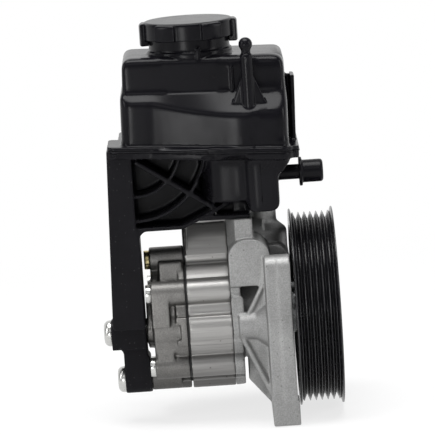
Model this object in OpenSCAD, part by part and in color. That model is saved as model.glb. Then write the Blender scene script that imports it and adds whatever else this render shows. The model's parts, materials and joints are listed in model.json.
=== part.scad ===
// Vane pump for power steering, with its own fluid reservoir.
// Millimetres. The pump shaft lies along X with the pulley at +X, the filler cap is at +Z,
// and the ribbed side of the reservoir faces -Y.
// The origin is on the shaft axis, in the middle plane of the belt grooves.

/* [Belt pulley] */
// Number of belt grooves
groove_count = 6; // [4:1:8]
// Distance from one groove to the next
groove_pitch = 3.56; // [3.2:0.02:3.8]
// Depth of a groove
groove_depth = 4; // [3:0.1:4.2]
// Included angle of a groove
groove_angle = 40; // [36:1:40]
// Flat on top of a rib
rib_flat = 0.3; // [0.2:0.1:0.5]
// Diameter over the rib tips
rib_tip_d = 114; // [106:1:120]
// Height of the side lips over the rib tips
lip_rise = 2.3; // [1:0.1:3]
// Width from the outermost rib to the pulley's side face
lip_w = 2.47; // [2:0.01:4]
// Wall under the grooves
rim_wall = 3.4; // [2.5:0.1:5]
// Thickness of the pulley web
web_t = 5; // [4:0.5:7]
// Diameter of the round holes in the web
web_hole_d = 15; // [10:1:17]
// Number of holes in the web
web_hole_count = 6; // [4:1:8]
// Circle that the web holes lie on
web_hole_circle_d = 76; // [74:1:78]
// Gap between pulley and bracket
pulley_gap = 2.2; // [1.5:0.1:4]

/* [Pulley hub] */
// Diameter of the hub flange
hub_flange_d = 54; // [52:1:56]
// Thickness of the hub flange
hub_flange_t = 6; // [5:0.5:8]
// Diameter of the hub sleeve behind the flange
hub_sleeve_d = 30; // [27:1:32]
// Diameter of the pilot that centres the pulley
pilot_d = 26; // [25:0.5:28]
// Circle of the pulley bolts
pulley_bolt_circle_d = 41; // [40:0.5:42]
// Number of pulley bolts
pulley_bolt_count = 3; // [3:1:4]
// Thread diameter of the pulley bolts
pulley_bolt_d = 6; // [5:0.5:6]
// Width across flats of the pulley bolt heads
pulley_bolt_hex = 10; // [9:0.5:10.5]

/* [Shaft and bearing] */
// Shaft diameter in the hub, the bearing and the seal
shaft_d = 20; // [18:0.5:21]
// Root diameter of the rotor spline
spline_d = 16.4; // [15:0.2:17]
// Height of a spline tooth
spline_tooth_h = 0.8; // [0.5:0.1:1]
// Width of a spline tooth
spline_tooth_w = 2; // [1.5:0.1:2.4]
// Number of spline teeth
spline_count = 12; // [8:1:14]
// Diameter of the rear journal
journal_d = 14; // [12:0.5:15]
// Length of the rear journal
journal_len = 15; // [12:0.5:17]
// Wall radius of the tapped hole in the shaft end
puller_hole_r = 4.25; // [3:0.05:5]
// Depth of the tapped hole in the shaft end
puller_hole_len = 18; // [12:1:24]
// Outside diameter of the ball bearing
bearing_d = 42; // [40:0.5:44]
// Width of the ball bearing
bearing_w = 12; // [10:0.5:13]
// Ball diameter
ball_d = 6.35; // [5.5:0.05:6.8]
// Number of balls
ball_count = 9; // [7:1:10]
// Thickness of the circlip
circlip_t = 1.6; // [1.2:0.1:2]
// Radial height of the circlip
circlip_h = 3; // [2.5:0.1:4]
// Outside diameter of the shaft seal
seal_d = 32; // [29:0.5:34]
// Width of the shaft seal
seal_w = 7; // [5:0.5:8]
// Wall of the rear bush
bush_wall = 2; // [1.5:0.1:3]

/* [Vane pack] */
// Diameter of the bore that holds the vane pack
pack_d = 62; // [60:0.5:63]
// Width of the cam ring
cam_w = 14; // [11:0.5:18]
// Gap between the rotor and the cam at its small radius
cam_gap = 1; // [0.5:0.1:1.5]
// How much the cam grows from its small to its large radius
cam_lift = 2; // [1:0.1:2.4]
// Rotor diameter
rotor_d = 40; // [38:0.5:41]
// Number of vanes
vane_count = 10; // [8:1:12]
// Vane thickness
vane_t = 1.8; // [1.4:0.1:2.2]
// Wall between the rotor's spline and its vane slots
rotor_core = 2; // [1.6:0.1:3]
// Thickness of the front pressure plate
front_plate_t = 6; // [5:0.5:8]
// Thickness of the rear pressure plate
rear_plate_t = 5.8; // [5:0.2:8]
// Diameter of the dowel pins
dowel_d = 4; // [3:0.25:4.5]
// Distance of the dowel pins from the wall of the pack's bore
dowel_inset = 4.25; // [3.5:0.05:5]
// Thickness of the disc spring behind the rear plate
disc_spring_t = 0.8; // [0.6:0.1:1.2]
// Free height of the disc spring
disc_spring_h = 2.2; // [1.6:0.1:3]
// Outside diameter of the disc spring
disc_spring_d = 40; // [36:1:44]
// Radial width of the disc spring
disc_spring_w = 6; // [4:0.5:8]

/* [Pump body] */
// Wall of the barrel round the vane pack
barrel_wall = 6; // [5:0.5:8]
// Height of the raised bands on the barrel
band_rise = 3.5; // [2:0.5:5]
// Half of the angle that a raised band covers
band_half_angle = 13; // [10:1:16]
// Radius of a bolt ear
ear_r = 7.5; // [6.8:0.1:8]
// How far the circle of the through bolts lies outside the barrel
bolt_circle_out = 0.5; // [0:0.25:2]
// Thread diameter of the through bolts
bolt_d = 6; // [5:0.5:7]
// Head diameter of the through bolts
bolt_head_d = 11.4; // [10:0.2:12]
// Head height of the through bolts
bolt_head_h = 3.2; // [2.5:0.1:4]
// Length of the front casting's flange
flange_len = 6; // [5:0.5:9]
// Length of the nose between flange and bracket
nose_len = 14.65; // [13:0.05:18]
// Radius of the nose
nose_r = 28; // [26:0.5:30]
// Length of the rear cover
cover_len = 20.4; // [19:0.1:25]
// Thickness of the rear cover's flange
cover_flange_t = 6.5; // [5:0.5:9]
// Step from the barrel in to the rear cover behind its flange
cover_step = 3.5; // [2:0.5:5]
// Radius of the rear cover's end boss
cover_boss_r = 19; // [17:0.5:22]
// Length of the rear cover's end boss
cover_boss_len = 3.9; // [3:0.1:4]
// Thickness of the gasket
gasket_t = 0.8; // [0.5:0.1:1.2]

/* [Bracket] */
// Thickness of the bracket plate
bracket_t = 15; // [12:0.5:18]
// Distance of a bracket arm from the shaft axis
arm_y = 47; // [45:0.5:52]
// Width of a bracket arm
arm_w = 17; // [15:0.5:19]
// Height of the upper bracket holes over the shaft axis
upper_hole_z = 32.5; // [28:0.5:36]
// Depth of the lower bracket holes under the shaft axis
lower_hole_z = 52; // [48:0.5:56]
// Length of an arm below its lower hole
foot_reach = 8.5; // [7:0.5:11]
// How much thicker the bracket feet are, to the front
foot_front_step = 1; // [0.4:0.1:1.2]
// Radius of the bracket holes
bracket_hole_r = 4.3; // [3.3:0.05:5.5]
// Radius of the plate round the bearing
plate_r = 34; // [32:0.5:36]
// Height of the cross bar
cross_h = 26; // [20:1:32]
// Radius of the round bridge from flange to bracket arm
bridge_r = 8; // [6:0.5:9]
// Distance of the bridge from the shaft axis
bridge_y = 38; // [36:0.5:40]
// Step at the parting line on the arms
parting_step = 0.6; // [0.2:0.1:1]
// Thickness of the gussets
gusset_t = 5; // [4:0.5:7]

/* [Flow valve and ports] */
// Height of the valve bore over the shaft axis
valve_z = 36; // [35:0.25:38]
// Radius of the valve bore
valve_bore_r = 7; // [6:0.25:8.5]
// Wall of the valve chest over the bore
valve_chest_wall = 14; // [12:0.5:15]
// Corner radius of the valve chest
chest_corner_r = 11; // [8:0.5:12]
// Reach of the valve chest to the ribbed side
chest_front = 41; // [38:0.5:44]
// Reach of the valve chest to the far side
chest_back = 36; // [34:0.5:42]
// Length of the spool
spool_len = 32; // [26:0.5:34]
// Travel of the spool
spool_travel = 6; // [3:0.5:8]
// Length of the valve spring
valve_spring_len = 21; // [18:0.5:24]
// Wire diameter of the valve spring
valve_wire_d = 1.6; // [1.2:0.1:2]
// Length of the valve plug's thread
plug_len = 11; // [8:0.5:13]
// Width across flats of the socket in the valve plug
plug_socket_w = 8; // [6:0.5:9]
// Depth of the socket in the valve plug
plug_socket_depth = 5; // [3:0.5:6]
// Radius of the gallery boss between valve chest and bracket
gallery_boss_r = 9.5; // [9:0.25:10.5]
// Height of the gallery boss over the shaft axis
gallery_z = 33; // [31:0.25:35]
// Wall round the tapped outlet
outlet_wall = 2.2; // [1.6:0.1:3]
// Wall radius of the tapped outlet
outlet_r = 6.4; // [5:0.1:7]
// Depth of the tapped outlet
outlet_len = 15; // [10:1:20]
// Height of the outlet over the shaft axis
outlet_z = 51.5; // [50.5:0.25:52.5]

/* [Suction neck] */
// Width of the suction chamber on top of the barrel
chamber_w = 28; // [24:0.5:32]
// Height of the suction chamber over the shaft axis
chamber_z = 58; // [54:0.5:60]
// Height of the suction neck over the shaft axis
neck_z = 61.6; // [60:0.1:66]
// Outside radius of the suction neck
neck_r = 8.2; // [7.9:0.1:9]
// Radius of the bore in the suction neck
neck_bore_r = 6.4; // [6:0.1:6.8]
// Depth of the bore in the suction neck
neck_bore_len = 12; // [9:0.5:14]
// Distance of the neck's axis in front of the bracket's rear face
neck_offset = 1.55; // [1:0.05:3]
// Thickness of the lip of the inlet seal
inlet_lip_t = 1.9; // [1.4:0.1:2.5]

/* [Reservoir] */
// Wall of the reservoir
tank_wall = 2.4; // [2:0.1:3]
// Gap between leg and rear cover
leg_gap = 4.5; // [4.2:0.1:6]
// How far the tank reaches past the leg's inner face
tank_left_reach = 7; // [5:0.5:9]
// How far the tank reaches past the neck's axis
tank_right_reach = 17.8; // [15:0.1:20]
// Height of the bowl, from sump to seam
bowl_h = 37.8; // [34:0.1:46]
// Radius of the bowl's round towards the ribbed web
bowl_turn_r = 27; // [20:0.5:28]
// Slope of the seam along the pump
seam_tilt = 3.2; // [1:0.1:4]
// Height of the lower band, from seam to shoulder
shoulder_h = 33.7; // [28:0.1:40]
// Height of the upper box over the shoulder
box_h = 21.3; // [17:0.1:28]
// Lean of the tank's upper half along the pump
top_tilt = 1.8; // [0.5:0.1:2.5]
// Half of the upper box's depth
box_half_y = 30; // [28:0.5:32]
// How far the lower band stands out from the upper box
band_out = 4.5; // [3:0.1:6]
// How far the bulge stands out from the upper box
bulge_out = 12; // [9:0.5:14]
// Radius of the bulge
bulge_arc_r = 170; // [150:5:200]
// Side draft of the upper box
box_draft = 1.2; // [0.5:0.1:2]
// Corner radius of the upper box
box_corner_r = 6; // [4:0.5:8]
// Edge radius of the upper box's top
box_edge_r = 4; // [2.5:0.5:5]
// Thickness of the upper half of the seam flange
upper_flange_t = 2.8; // [2:0.1:4]
// Thickness of the lower half of the seam flange
lower_flange_t = 4.4; // [3:0.1:6]
// Width of the seam flange
seam_flange_w = 2.6; // [2:0.1:4]

/* [Filler neck and cap] */
// Outside radius of the filler neck
filler_r = 24; // [22:0.5:25]
// Height of the filler neck over the tank's top
filler_h = 15; // [12:0.5:18]
// Distance of the filler from the middle of the tank's depth, to the ribbed side
filler_y = 3; // [1:0.5:4]
// Radius of the cap between its grips
cap_r = 26.6; // [26.2:0.1:28]
// Radius over the cap's grips
cap_grip_r = 29.2; // [28.4:0.1:31]
// Number of grips
grip_count = 6; // [5:1:8]
// Angle of a grip
grip_angle = 26; // [18:1:32]
// How far the two long grips reach below the others
grip_drop = 3.6; // [2:0.1:5]
// Height of the cap
cap_h = 14; // [12:0.5:16]
// Thickness of the cap's top
cap_top_t = 3.4; // [2.5:0.1:4.5]
// Thickness of the cap's seal
cap_seal_t = 1.6; // [1:0.1:2]
// Length of the dipstick
dipstick_len = 66; // [50:1:75]

/* [Peg and rail] */
// Diameter of the hose-clip peg
peg_d = 7.6; // [6:0.1:9]
// Height of the peg over the shoulder
peg_h = 25; // [20:0.5:32]
// Diameter of the ball on the peg
peg_ball_d = 8.2; // [7.6:0.1:10]
// Distance of the peg in front of the upper box
peg_out = 5.5; // [4.5:0.5:7]
// Reach of the peg's fins
peg_fin_reach = 9.8; // [7:0.1:11]
// Height of the peg's fins
peg_fin_h = 17; // [12:0.5:20]
// Width of the side rail
rail_w = 5; // [4:0.5:7]
// Height of the side rail over the seam
rail_h = 40; // [30:0.5:44]

/* [Leg and web] */
// Reach of the leg to the ribbed side
leg_front = 34; // [33:0.5:36]
// Depth of the leg
leg_depth = 31; // [30:0.5:36]
// Thickness of the leg at the seam
leg_top_t = 14; // [12:0.5:16]
// Thickness of the leg at the foot
leg_foot_t = 19.5; // [17:0.5:22]
// Height of the web's lower edge over the shaft axis
web_edge_z = 58.2; // [57:0.1:61]
// Thickness of the foot plate on the casting's lug
foot_plate_t = 2.6; // [1.6:0.1:3]
// Radius of the fillet between leg and web edge
leg_fillet = 5; // [3:0.5:7]
// Thickness of the web and its ribs
rib_t = 1.8; // [1.4:0.1:2.4]
// Radius of the smaller rib arc
rib_arc_r = 28; // [24:0.5:32]
// Step from one rib arc to the next
rib_arc_step = 14.7; // [12:0.1:16]
// Height of the upper reservoir screw
upper_screw_z = -6.5; // [-8:0.5:-5]
// Height of the lower reservoir screw
lower_screw_z = -35; // [-36:0.5:-33]
// Distance of the reservoir screws from the shaft axis, to the ribbed side
screw_y = 12; // [11:0.5:13]
// Thread diameter of the reservoir screws
screw_d = 8; // [6:0.5:8]
// Head diameter of the reservoir screws
screw_head_d = 15.6; // [13:0.2:16.4]
// Head height of the reservoir screws
screw_head_h = 4.6; // [3.5:0.1:6]
// Wall of the metal bushes in the leg
bush_sleeve_wall = 1.4; // [1:0.1:2]

/* [Return nipple] */
// Radius of the return nipple
nipple_r = 4.5; // [3.5:0.1:5]
// Bore radius of the return nipple
nipple_bore_r = 3; // [2:0.1:3.4]
// Height of the return nipple over the sump
nipple_h = 18; // [13:0.5:19]
// Length of the return nipple past the tank's side
nipple_len = 21; // [18:0.5:26]
// Radius of the transport cap
port_cap_r = 6.8; // [6.2:0.1:8]
// Length of the transport cap
port_cap_len = 14.4; // [11:0.1:17]
// Radius of the transport cap's collar
port_collar_r = 8.7; // [8:0.1:10]

/* [Hidden] */
$fn = 64;

// Clearances
fit_clear = 0.02;
run_clear = 0.04;
loose_clear = 0.3;
over = 1;

// Stations along the shaft
pulley_half = groove_count * groove_pitch / 2 + lip_w;
bracket_x1 = -(pulley_half + pulley_gap);
bracket_x0 = bracket_x1 - bracket_t;
flange_x1 = bracket_x0 - nose_len;
flange_x0 = flange_x1 - flange_len;
front_plate_x0 = flange_x0 - front_plate_t;
cam_x0 = front_plate_x0 - cam_w;
ring_x0 = cam_x0 - rear_plate_t;
cover_x1 = ring_x0 - gasket_t;
cover_x0 = cover_x1 - cover_len;
leg_x1 = cover_x0 - leg_gap;
neck_x = bracket_x0 + neck_offset;

// Pulley and hub
rib_tip_r = rib_tip_d / 2;
groove_root_r = rib_tip_r - groove_depth;
rim_in_r = groove_root_r - rim_wall;
groove_half = (groove_pitch - rib_flat) / 2;
groove_root_half = groove_half - groove_depth * tan(groove_angle / 2);
belt_half = groove_count * groove_pitch / 2;
web_x1 = web_t / 2;
web_x0 = -web_t / 2;
web_fillet = 3;
hub_x0 = -pulley_half - pulley_gap / 2;
hub_x1 = web_x1 + 1.5;
pulley_bolt_head_h = 4;
pulley_bolt_washer_h = 1.2;

// Bearing stations
nose_x1 = bracket_x1 - 2;
circlip_x1 = nose_x1 - 1.2;
bearing_x1 = circlip_x1 - circlip_t;
bearing_x0 = bearing_x1 - bearing_w;
bearing_mid = (bearing_x0 + bearing_x1) / 2;
seal_x1 = bearing_x0;
seal_x0 = seal_x1 - seal_w;
ball_circle_r = (bearing_d + shaft_d) / 4;
race_gap = ball_d * 0.56;
groove_ball_r = ball_d / 2 + 0.08;
shaft_bore_r = shaft_d / 2 + 1;
journal_x1 = ring_x0;
journal_x0 = journal_x1 - journal_len;

// Radii of the body and of the vane pack
barrel_r = pack_d / 2 + barrel_wall;
band_r = barrel_r + band_rise;
bolt_circle_r = barrel_r + bolt_circle_out;
cover_r = barrel_r - cover_step;
dowel_circle_d = pack_d - 2 * dowel_inset;
cam_small_r = rotor_d / 2 + cam_gap;
slot_floor_r = spline_d / 2 + spline_tooth_h + rotor_core;
vane_h = rotor_d / 2 - slot_floor_r - 1;

// Through bolts and raised bands, as angles from +Z towards the ribbed side
ear_angles = [15, 59, 133, 206, 290];
band_angles = [46, 95, 172, 246, 310];
bolt_hole_r = bolt_d / 2 + 0.3;

// Valve chest
chest_x0 = flange_x0;
chest_x1 = chest_x0 + 2 * valve_chest_wall - 3.5;
valve_x = bracket_x0 - valve_bore_r - loose_clear;
bolt_end_x = min(flange_x1 - 0.5, valve_x - valve_bore_r - 1);
chest_top_z = valve_z + valve_chest_wall;
chest_bottom_z = valve_z - valve_chest_wall;
valve_y1 = chest_back;
plug_y0 = valve_y1 - plug_len;
spool_y1 = plug_y0 - loose_clear;
spool_y0 = spool_y1 - spool_len;
valve_spring_y0 = spool_y0 - valve_spring_len;
gallery_x = bracket_x1 - gallery_boss_r + 1;
outlet_boss_r = outlet_r + outlet_wall;
outlet_x = neck_x;

// Lug block beside the neck
lug_y0 = -36;
lug_y1 = -14;
lug_front_x0 = neck_x - 17.2;
lug_x0 = neck_x - 22.2;
lug_x1 = neck_x - 6.7;
lug_facet = 10;

// Reservoir heights and widths
lip_z = neck_z + inlet_lip_t;
sump_z = lip_z + 2;
seam_z = sump_z + bowl_h;
shoulder_z = seam_z + shoulder_h;
top_z = shoulder_z + box_h;
tank_x0 = leg_x1 - tank_left_reach;
tank_x1 = neck_x + tank_right_reach;
tank_mid = (tank_x0 + tank_x1) / 2;
band_y = box_half_y + band_out;
bulge_y = box_half_y + bulge_out;
bulge_x = neck_x - 13.2;
front_box_x0 = neck_x - 8.2;
front_box_y = bulge_y - 1;
flange_left = tank_x0 - 8.5;
flange_right = tank_x1 + rail_w + 1;
bowl_x0 = neck_x - 35.2;
bowl_floor_z = sump_z + 6;
sump_x0 = neck_x - 8.2;
sump_x1 = neck_x + 10.4;
bowl_front_y = bulge_y - 3;
bowl_back_y = box_half_y - 3;
spigot_r = neck_bore_r - 1.9;
spigot_bore_r = spigot_r - 1.5;
strainer_r = spigot_bore_r + 0.7;

// Filler and cap
filler_x = tank_mid - 5.5;
filler_top_z = top_z + filler_h;
filler_bore_r = filler_r - tank_wall;
cap_ceiling_z = filler_top_z + cap_seal_t;
cap_z1 = cap_ceiling_z + cap_top_t;
cap_z0 = cap_z1 - cap_h;
cap_bore_r = filler_r + loose_clear;
plug_ring_r = filler_bore_r - 1.2;
dipstick_head_t = 2;

// Leg and foot
leg_x0_top = leg_x1 - 1.8 - leg_top_t;
leg_x0_foot = leg_x1 - leg_foot_t;
leg_y0 = -leg_front;
leg_y1 = leg_y0 + leg_depth;
leg_end_z = upper_screw_z + 5.5;
foot_mid_z = upper_screw_z - 8.2;
foot_end_z = lower_screw_z - 6;
upper_seat_x = leg_x1;
lower_seat_x = leg_x1 + 1.5;
upper_head_x = leg_x0_foot - 1.4;
lower_head_x = leg_x0_foot + 5;
screw_boss_r = screw_head_d / 2 + 0.7;
screw_hole_r = screw_d / 2 + bush_sleeve_wall + 0.3;
cover_tap_len = 10;
web_y0 = leg_y0 + 22;
web_y1 = web_y0 + 3;
rib_y0 = leg_y0 + 3;
rib_centre_x = leg_x1 - 0.9;
rib_centre_z = seam_z + 2.5;
edge_b = [bowl_x0 - 12.6, web_edge_z];
edge_c = [bowl_x0 + 19, bowl_floor_z + 1];
edge_run = (edge_c[0] - edge_b[0]) / (edge_c[1] - edge_b[1]);
foot_plate_x0 = edge_b[0] + (neck_z + foot_plate_t / 2 - web_edge_z) * edge_run;

// Return nipple
nipple_y = -8;
nipple_z = sump_z + nipple_h;
nipple_x1 = sump_x1 + nipple_len;
port_cap_x1 = nipple_x1 + 6.3;
port_cap_x0 = port_cap_x1 - port_cap_len;

// Helpers: a flat outline drawn out along one axis
module along_x(x0, x1) {
    translate([x0, 0, 0]) rotate([90, 0, 90]) linear_extrude(x1 - x0) children();
}
module along_y(y0, y1) {
    translate([0, y1, 0]) rotate([90, 0, 0]) linear_extrude(y1 - y0) children();
}
module along_z(z0, z1) {
    translate([0, 0, z0]) linear_extrude(z1 - z0) children();
}
module rod_x(x0, x1, r, y = 0, z = 0) {
    translate([x0, y, z]) rotate([0, 90, 0]) cylinder(r = r, h = x1 - x0);
}
module rod_y(y0, y1, r, x = 0, z = 0) {
    translate([x, y0, z]) rotate([-90, 0, 0]) cylinder(r = r, h = y1 - y0);
}
module rod_z(z0, z1, r, x = 0, y = 0) {
    translate([x, y, z0]) cylinder(r = r, h = z1 - z0);
}
// A half section of radius and height, turned about the shaft
module turned_x() {
    rotate([0, 90, 0]) rotate_extrude() children();
}
// A ring about the shaft
module ring_x(x0, x1, r_in, r_out) {
    difference() {
        rod_x(x0, x1, r_out);
        rod_x(x0 - over, x1 + over, r_in);
    }
}
module rounded_rect(x0, x1, y0, y1, r) {
    translate([x0 + r, y0]) square([x1 - x0 - 2 * r, y1 - y0]);
    translate([x0, y0 + r]) square([x1 - x0, y1 - y0 - 2 * r]);
    for (x = [x0 + r, x1 - r], y = [y0 + r, y1 - r]) translate([x, y]) circle(r = r);
}
// Place on a circle round the shaft, in the Y-Z plane
module at_angle(angle, r) {
    translate([-r * sin(angle), r * cos(angle)]) children();
}
module bolt_ring() {
    for (angle = ear_angles) translate([0, -bolt_circle_r * sin(angle), bolt_circle_r * cos(angle)]) children();
}
// Corner arcs of a polygon: each corner is [x, y, radius]
function unit(v) = v / norm(v);
function corner_arc(a, p, b, r, n = 6) =
    let (
        u = unit([a[0] - p[0], a[1] - p[1]]),
        v = unit([b[0] - p[0], b[1] - p[1]]),
        half = acos(u * v) / 2,
        centre = [p[0], p[1]] + unit(u + v) * r / sin(half),
        start = [p[0], p[1]] + u * r / tan(half) - centre,
        end = [p[0], p[1]] + v * r / tan(half) - centre
    )
    r < 0.01 ? [[p[0], p[1]]]
             : [for (i = [0:n]) centre + r * unit(start * sin((1 - i / n) * (90 - half) * 2)
                                                  + end * sin(i / n * (90 - half) * 2))];
function rounded_corners(p) =
    [for (i = [0:len(p) - 1]) each corner_arc(p[(i + len(p) - 1) % len(p)], p[i], p[(i + 1) % len(p)], p[i][2])];

// Outline of the pump body across the shaft
module body_outline() {
    circle(r = barrel_r);
    for (angle = ear_angles) at_angle(angle, bolt_circle_r) circle(r = ear_r);
    for (angle = band_angles) intersection() {
        circle(r = band_r);
        polygon([
            [0, 0],
            [-2 * band_r * sin(angle - band_half_angle), 2 * band_r * cos(angle - band_half_angle)],
            [-2 * band_r * sin(angle + band_half_angle), 2 * band_r * cos(angle + band_half_angle)]
        ]);
    }
}
module chamber_outline() {
    translate([-chamber_w / 2, 0]) square([chamber_w, chamber_z - chamber_w / 2 + 2]);
    rounded_rect(-chamber_w / 2, chamber_w / 2, barrel_r - 10, chamber_z, chamber_w / 2 - 2);
}
module spline_outline(clear = 0) {
    circle(r = spline_d / 2 + clear);
    for (i = [0:spline_count - 1]) rotate(i * 360 / spline_count)
        translate([0, -spline_tooth_w / 2 - clear])
            square([spline_d / 2 + spline_tooth_h + clear, spline_tooth_w + 2 * clear]);
}

// Pump castings
module ring_housing() {
    color("#b9b6b0") difference() {
        along_x(ring_x0, flange_x0) {
            body_outline();
            chamber_outline();
        }
        rod_x(ring_x0 - over, flange_x0 + over, pack_d / 2);
        bolt_ring() rod_x(ring_x0 - over, flange_x0 + over, bolt_hole_r);
    }
}

module bracket_outline() {
    circle(r = plate_r);
    translate([-arm_y, -cross_h / 2]) square([2 * arm_y, cross_h]);
    translate([-arm_y, -lower_hole_z - foot_reach]) square([2 * arm_y, foot_reach + 4]);
    for (side = [-1, 1]) translate([side * arm_y, 0]) {
        translate([-arm_w / 2, -lower_hole_z - foot_reach]) square([arm_w, upper_hole_z + lower_hole_z + foot_reach]);
        translate([0, upper_hole_z]) circle(r = arm_w / 2);
    }
}
module bracket() {
    along_x(bracket_x0, bracket_x1) bracket_outline();
    for (side = [-1, 1]) {
        along_x(bracket_x0, bracket_x1 + foot_front_step)
            translate([side * arm_y - arm_w / 2, -lower_hole_z - foot_reach]) square([arm_w, foot_reach + 6]);
        along_x((bracket_x0 + bracket_x1) / 2, bracket_x1) {
            translate([side * (arm_y + parting_step) - arm_w / 2, -lower_hole_z + 5])
                square([arm_w, upper_hole_z + lower_hole_z - 5]);
            translate([side * (arm_y + parting_step), upper_hole_z]) circle(r = arm_w / 2);
        }
        rod_x(flange_x1 - 2, bracket_x0 + 2, bridge_r, side * bridge_y, -1.5);
        along_y(side * (bridge_y + 1) - gusset_t / 2, side * (bridge_y + 1) + gusset_t / 2)
            polygon([
                [flange_x1 - 1, -3.2],
                [bracket_x0 + 2, upper_hole_z - 5],
                [bracket_x0 + 2, -lower_hole_z + 7],
                [flange_x1 - 1, -8]
            ]);
    }
    along_y(-gusset_t / 2, gusset_t / 2)
        polygon([
            [flange_x1 + 2, -nose_r + 2],
            [flange_x1 + 2, -barrel_r - 5],
            [bracket_x0 + 1, -lower_hole_z - foot_reach + 2],
            [bracket_x0 + 1, -nose_r + 2]
        ]);
}
module valve_chest() {
    along_y(-chest_front, chest_back) {
        rounded_rect(chest_x0, chest_x1, chest_bottom_z, chest_top_z, chest_corner_r);
        translate([chest_x0, chest_bottom_z]) square([chest_x1 - chest_x0, valve_chest_wall]);
    }
    along_y(-chest_front, -barrel_r + 8) rounded_rect(flange_x0, flange_x1 + 1.5, 4, 16.5, 2.5);
    rod_y(-chest_front / 2, chest_back, gallery_boss_r, gallery_x, gallery_z);
    along_y(-chest_front / 2, chest_back)
        translate([chest_x1 - 6, gallery_z - gallery_boss_r])
            square([gallery_x - chest_x1 + 6, 1.6 * gallery_boss_r]);
    rod_y(0, chest_back, outlet_boss_r, outlet_x, outlet_z);
    along_y(0, chest_back)
        translate([outlet_x - outlet_boss_r, valve_z]) square([2 * outlet_boss_r, outlet_z - valve_z]);
}
module suction_neck() {
    along_x(flange_x0, neck_x) chamber_outline();
    translate([neck_x, 0, 0]) rotate_extrude()
        polygon(rounded_corners([
            [0, 20, 0], [chamber_w / 2, 20, 0], [chamber_w / 2, chamber_z - 9, 4],
            [neck_r, chamber_z - 4, 3], [neck_r, neck_z, 0], [0, neck_z, 0]
        ]));
    along_z(chest_top_z - 6, neck_z)
        polygon([
            [lug_x1, lug_y0], [lug_front_x0, lug_y0], [lug_x0, lug_y0 + lug_facet],
            [lug_x0, lug_y1], [lug_x1, lug_y1]
        ]);
}
module front_housing() {
    color("#c4c2bd") difference() {
        union() {
            along_x(flange_x0, flange_x1) body_outline();
            rod_x(flange_x1 - 1, nose_x1, nose_r);
            bracket();
            valve_chest();
            suction_neck();
        }
        rod_x(bearing_x0, bracket_x1 + over, bearing_d / 2 + fit_clear);
        ring_x(bearing_x1, circlip_x1 + 0.1, bearing_d / 2 - over, bearing_d / 2 + circlip_h / 2);
        rod_x(seal_x0, bearing_x0 + over, seal_d / 2 + fit_clear);
        rod_x(flange_x0 - over, seal_x0 + over, shaft_bore_r);
        bolt_ring() rod_x(flange_x0 - over, bolt_end_x + loose_clear, bolt_d / 2 + fit_clear);
        rod_y(valve_spring_y0 - 1, valve_y1 + over, valve_bore_r, valve_x, valve_z);
        rod_y(chest_back - outlet_len, chest_back + over, outlet_r, outlet_x, outlet_z);
        rod_z(neck_z - neck_bore_len, neck_z + over, neck_bore_r, neck_x);
        for (y = [-arm_y, arm_y], z = [-lower_hole_z, upper_hole_z])
            rod_x(bracket_x0 - over, bracket_x1 + foot_front_step + over, bracket_hole_r, y, z);
    }
}

module cover_pad(x, z) {
    rod_x(x, cover_x1 - cover_flange_t + 1, screw_boss_r - 1, -screw_y, z);
}
module rear_cover() {
    color("#aaa7a1") difference() {
        union() {
            along_x(cover_x1 - cover_flange_t, cover_x1) body_outline();
            rod_x(cover_x0, cover_x1 - 1, cover_r);
            bolt_ring() rod_x(cover_x0, cover_x1 - 1, ear_r);
            rod_x(cover_x0 - cover_boss_len, cover_x0 + 1, cover_boss_r);
            translate([cover_x0, -bolt_circle_r * sin(ear_angles[1]) - ear_r, 0])
                cube([cover_len / 2, 2 * ear_r, bolt_circle_r * cos(ear_angles[1])]);
            cover_pad(upper_seat_x, upper_screw_z);
            cover_pad(lower_seat_x, lower_screw_z);
        }
        bolt_ring() rod_x(cover_x0 - over, cover_x1 + over, bolt_hole_r);
        rod_x(journal_x0 - 1, cover_x1 + over, journal_d / 2 + bush_wall + fit_clear);
        rod_x(cover_x1 - disc_spring_h, cover_x1 + over, disc_spring_d / 2 + loose_clear);
        for (place = [[upper_seat_x, upper_screw_z], [lower_seat_x, lower_screw_z]])
            rod_x(place[0] - over, place[0] + cover_tap_len, screw_d / 2 + fit_clear, -screw_y, place[1]);
        for (angle = band_angles) rotate([angle, 0, 0])
            translate([cover_x1 - cover_flange_t - 4, -5, cover_r - 2]) cube([cover_flange_t, 10, 10]);
    }
}
module cover_gasket() {
    color("#1b1b1b") difference() {
        along_x(cover_x1, ring_x0) {
            body_outline();
            chamber_outline();
        }
        rod_x(cover_x1 - over, ring_x0 + over, pack_d / 2);
        bolt_ring() rod_x(cover_x1 - over, ring_x0 + over, bolt_hole_r);
    }
}
module cover_bolts() {
    color("#cfcab4") bolt_ring() difference() {
        union() {
            rod_x(cover_x0, bolt_end_x, bolt_d / 2);
            rod_x(cover_x0 - bolt_head_h, cover_x0, bolt_head_d / 2);
        }
        translate([cover_x0 - bolt_head_h - over, 0, 0]) rotate([0, 90, 0])
            cylinder(d = bolt_d, h = bolt_head_h * 0.6 + over, $fn = 6);
    }
}

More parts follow.
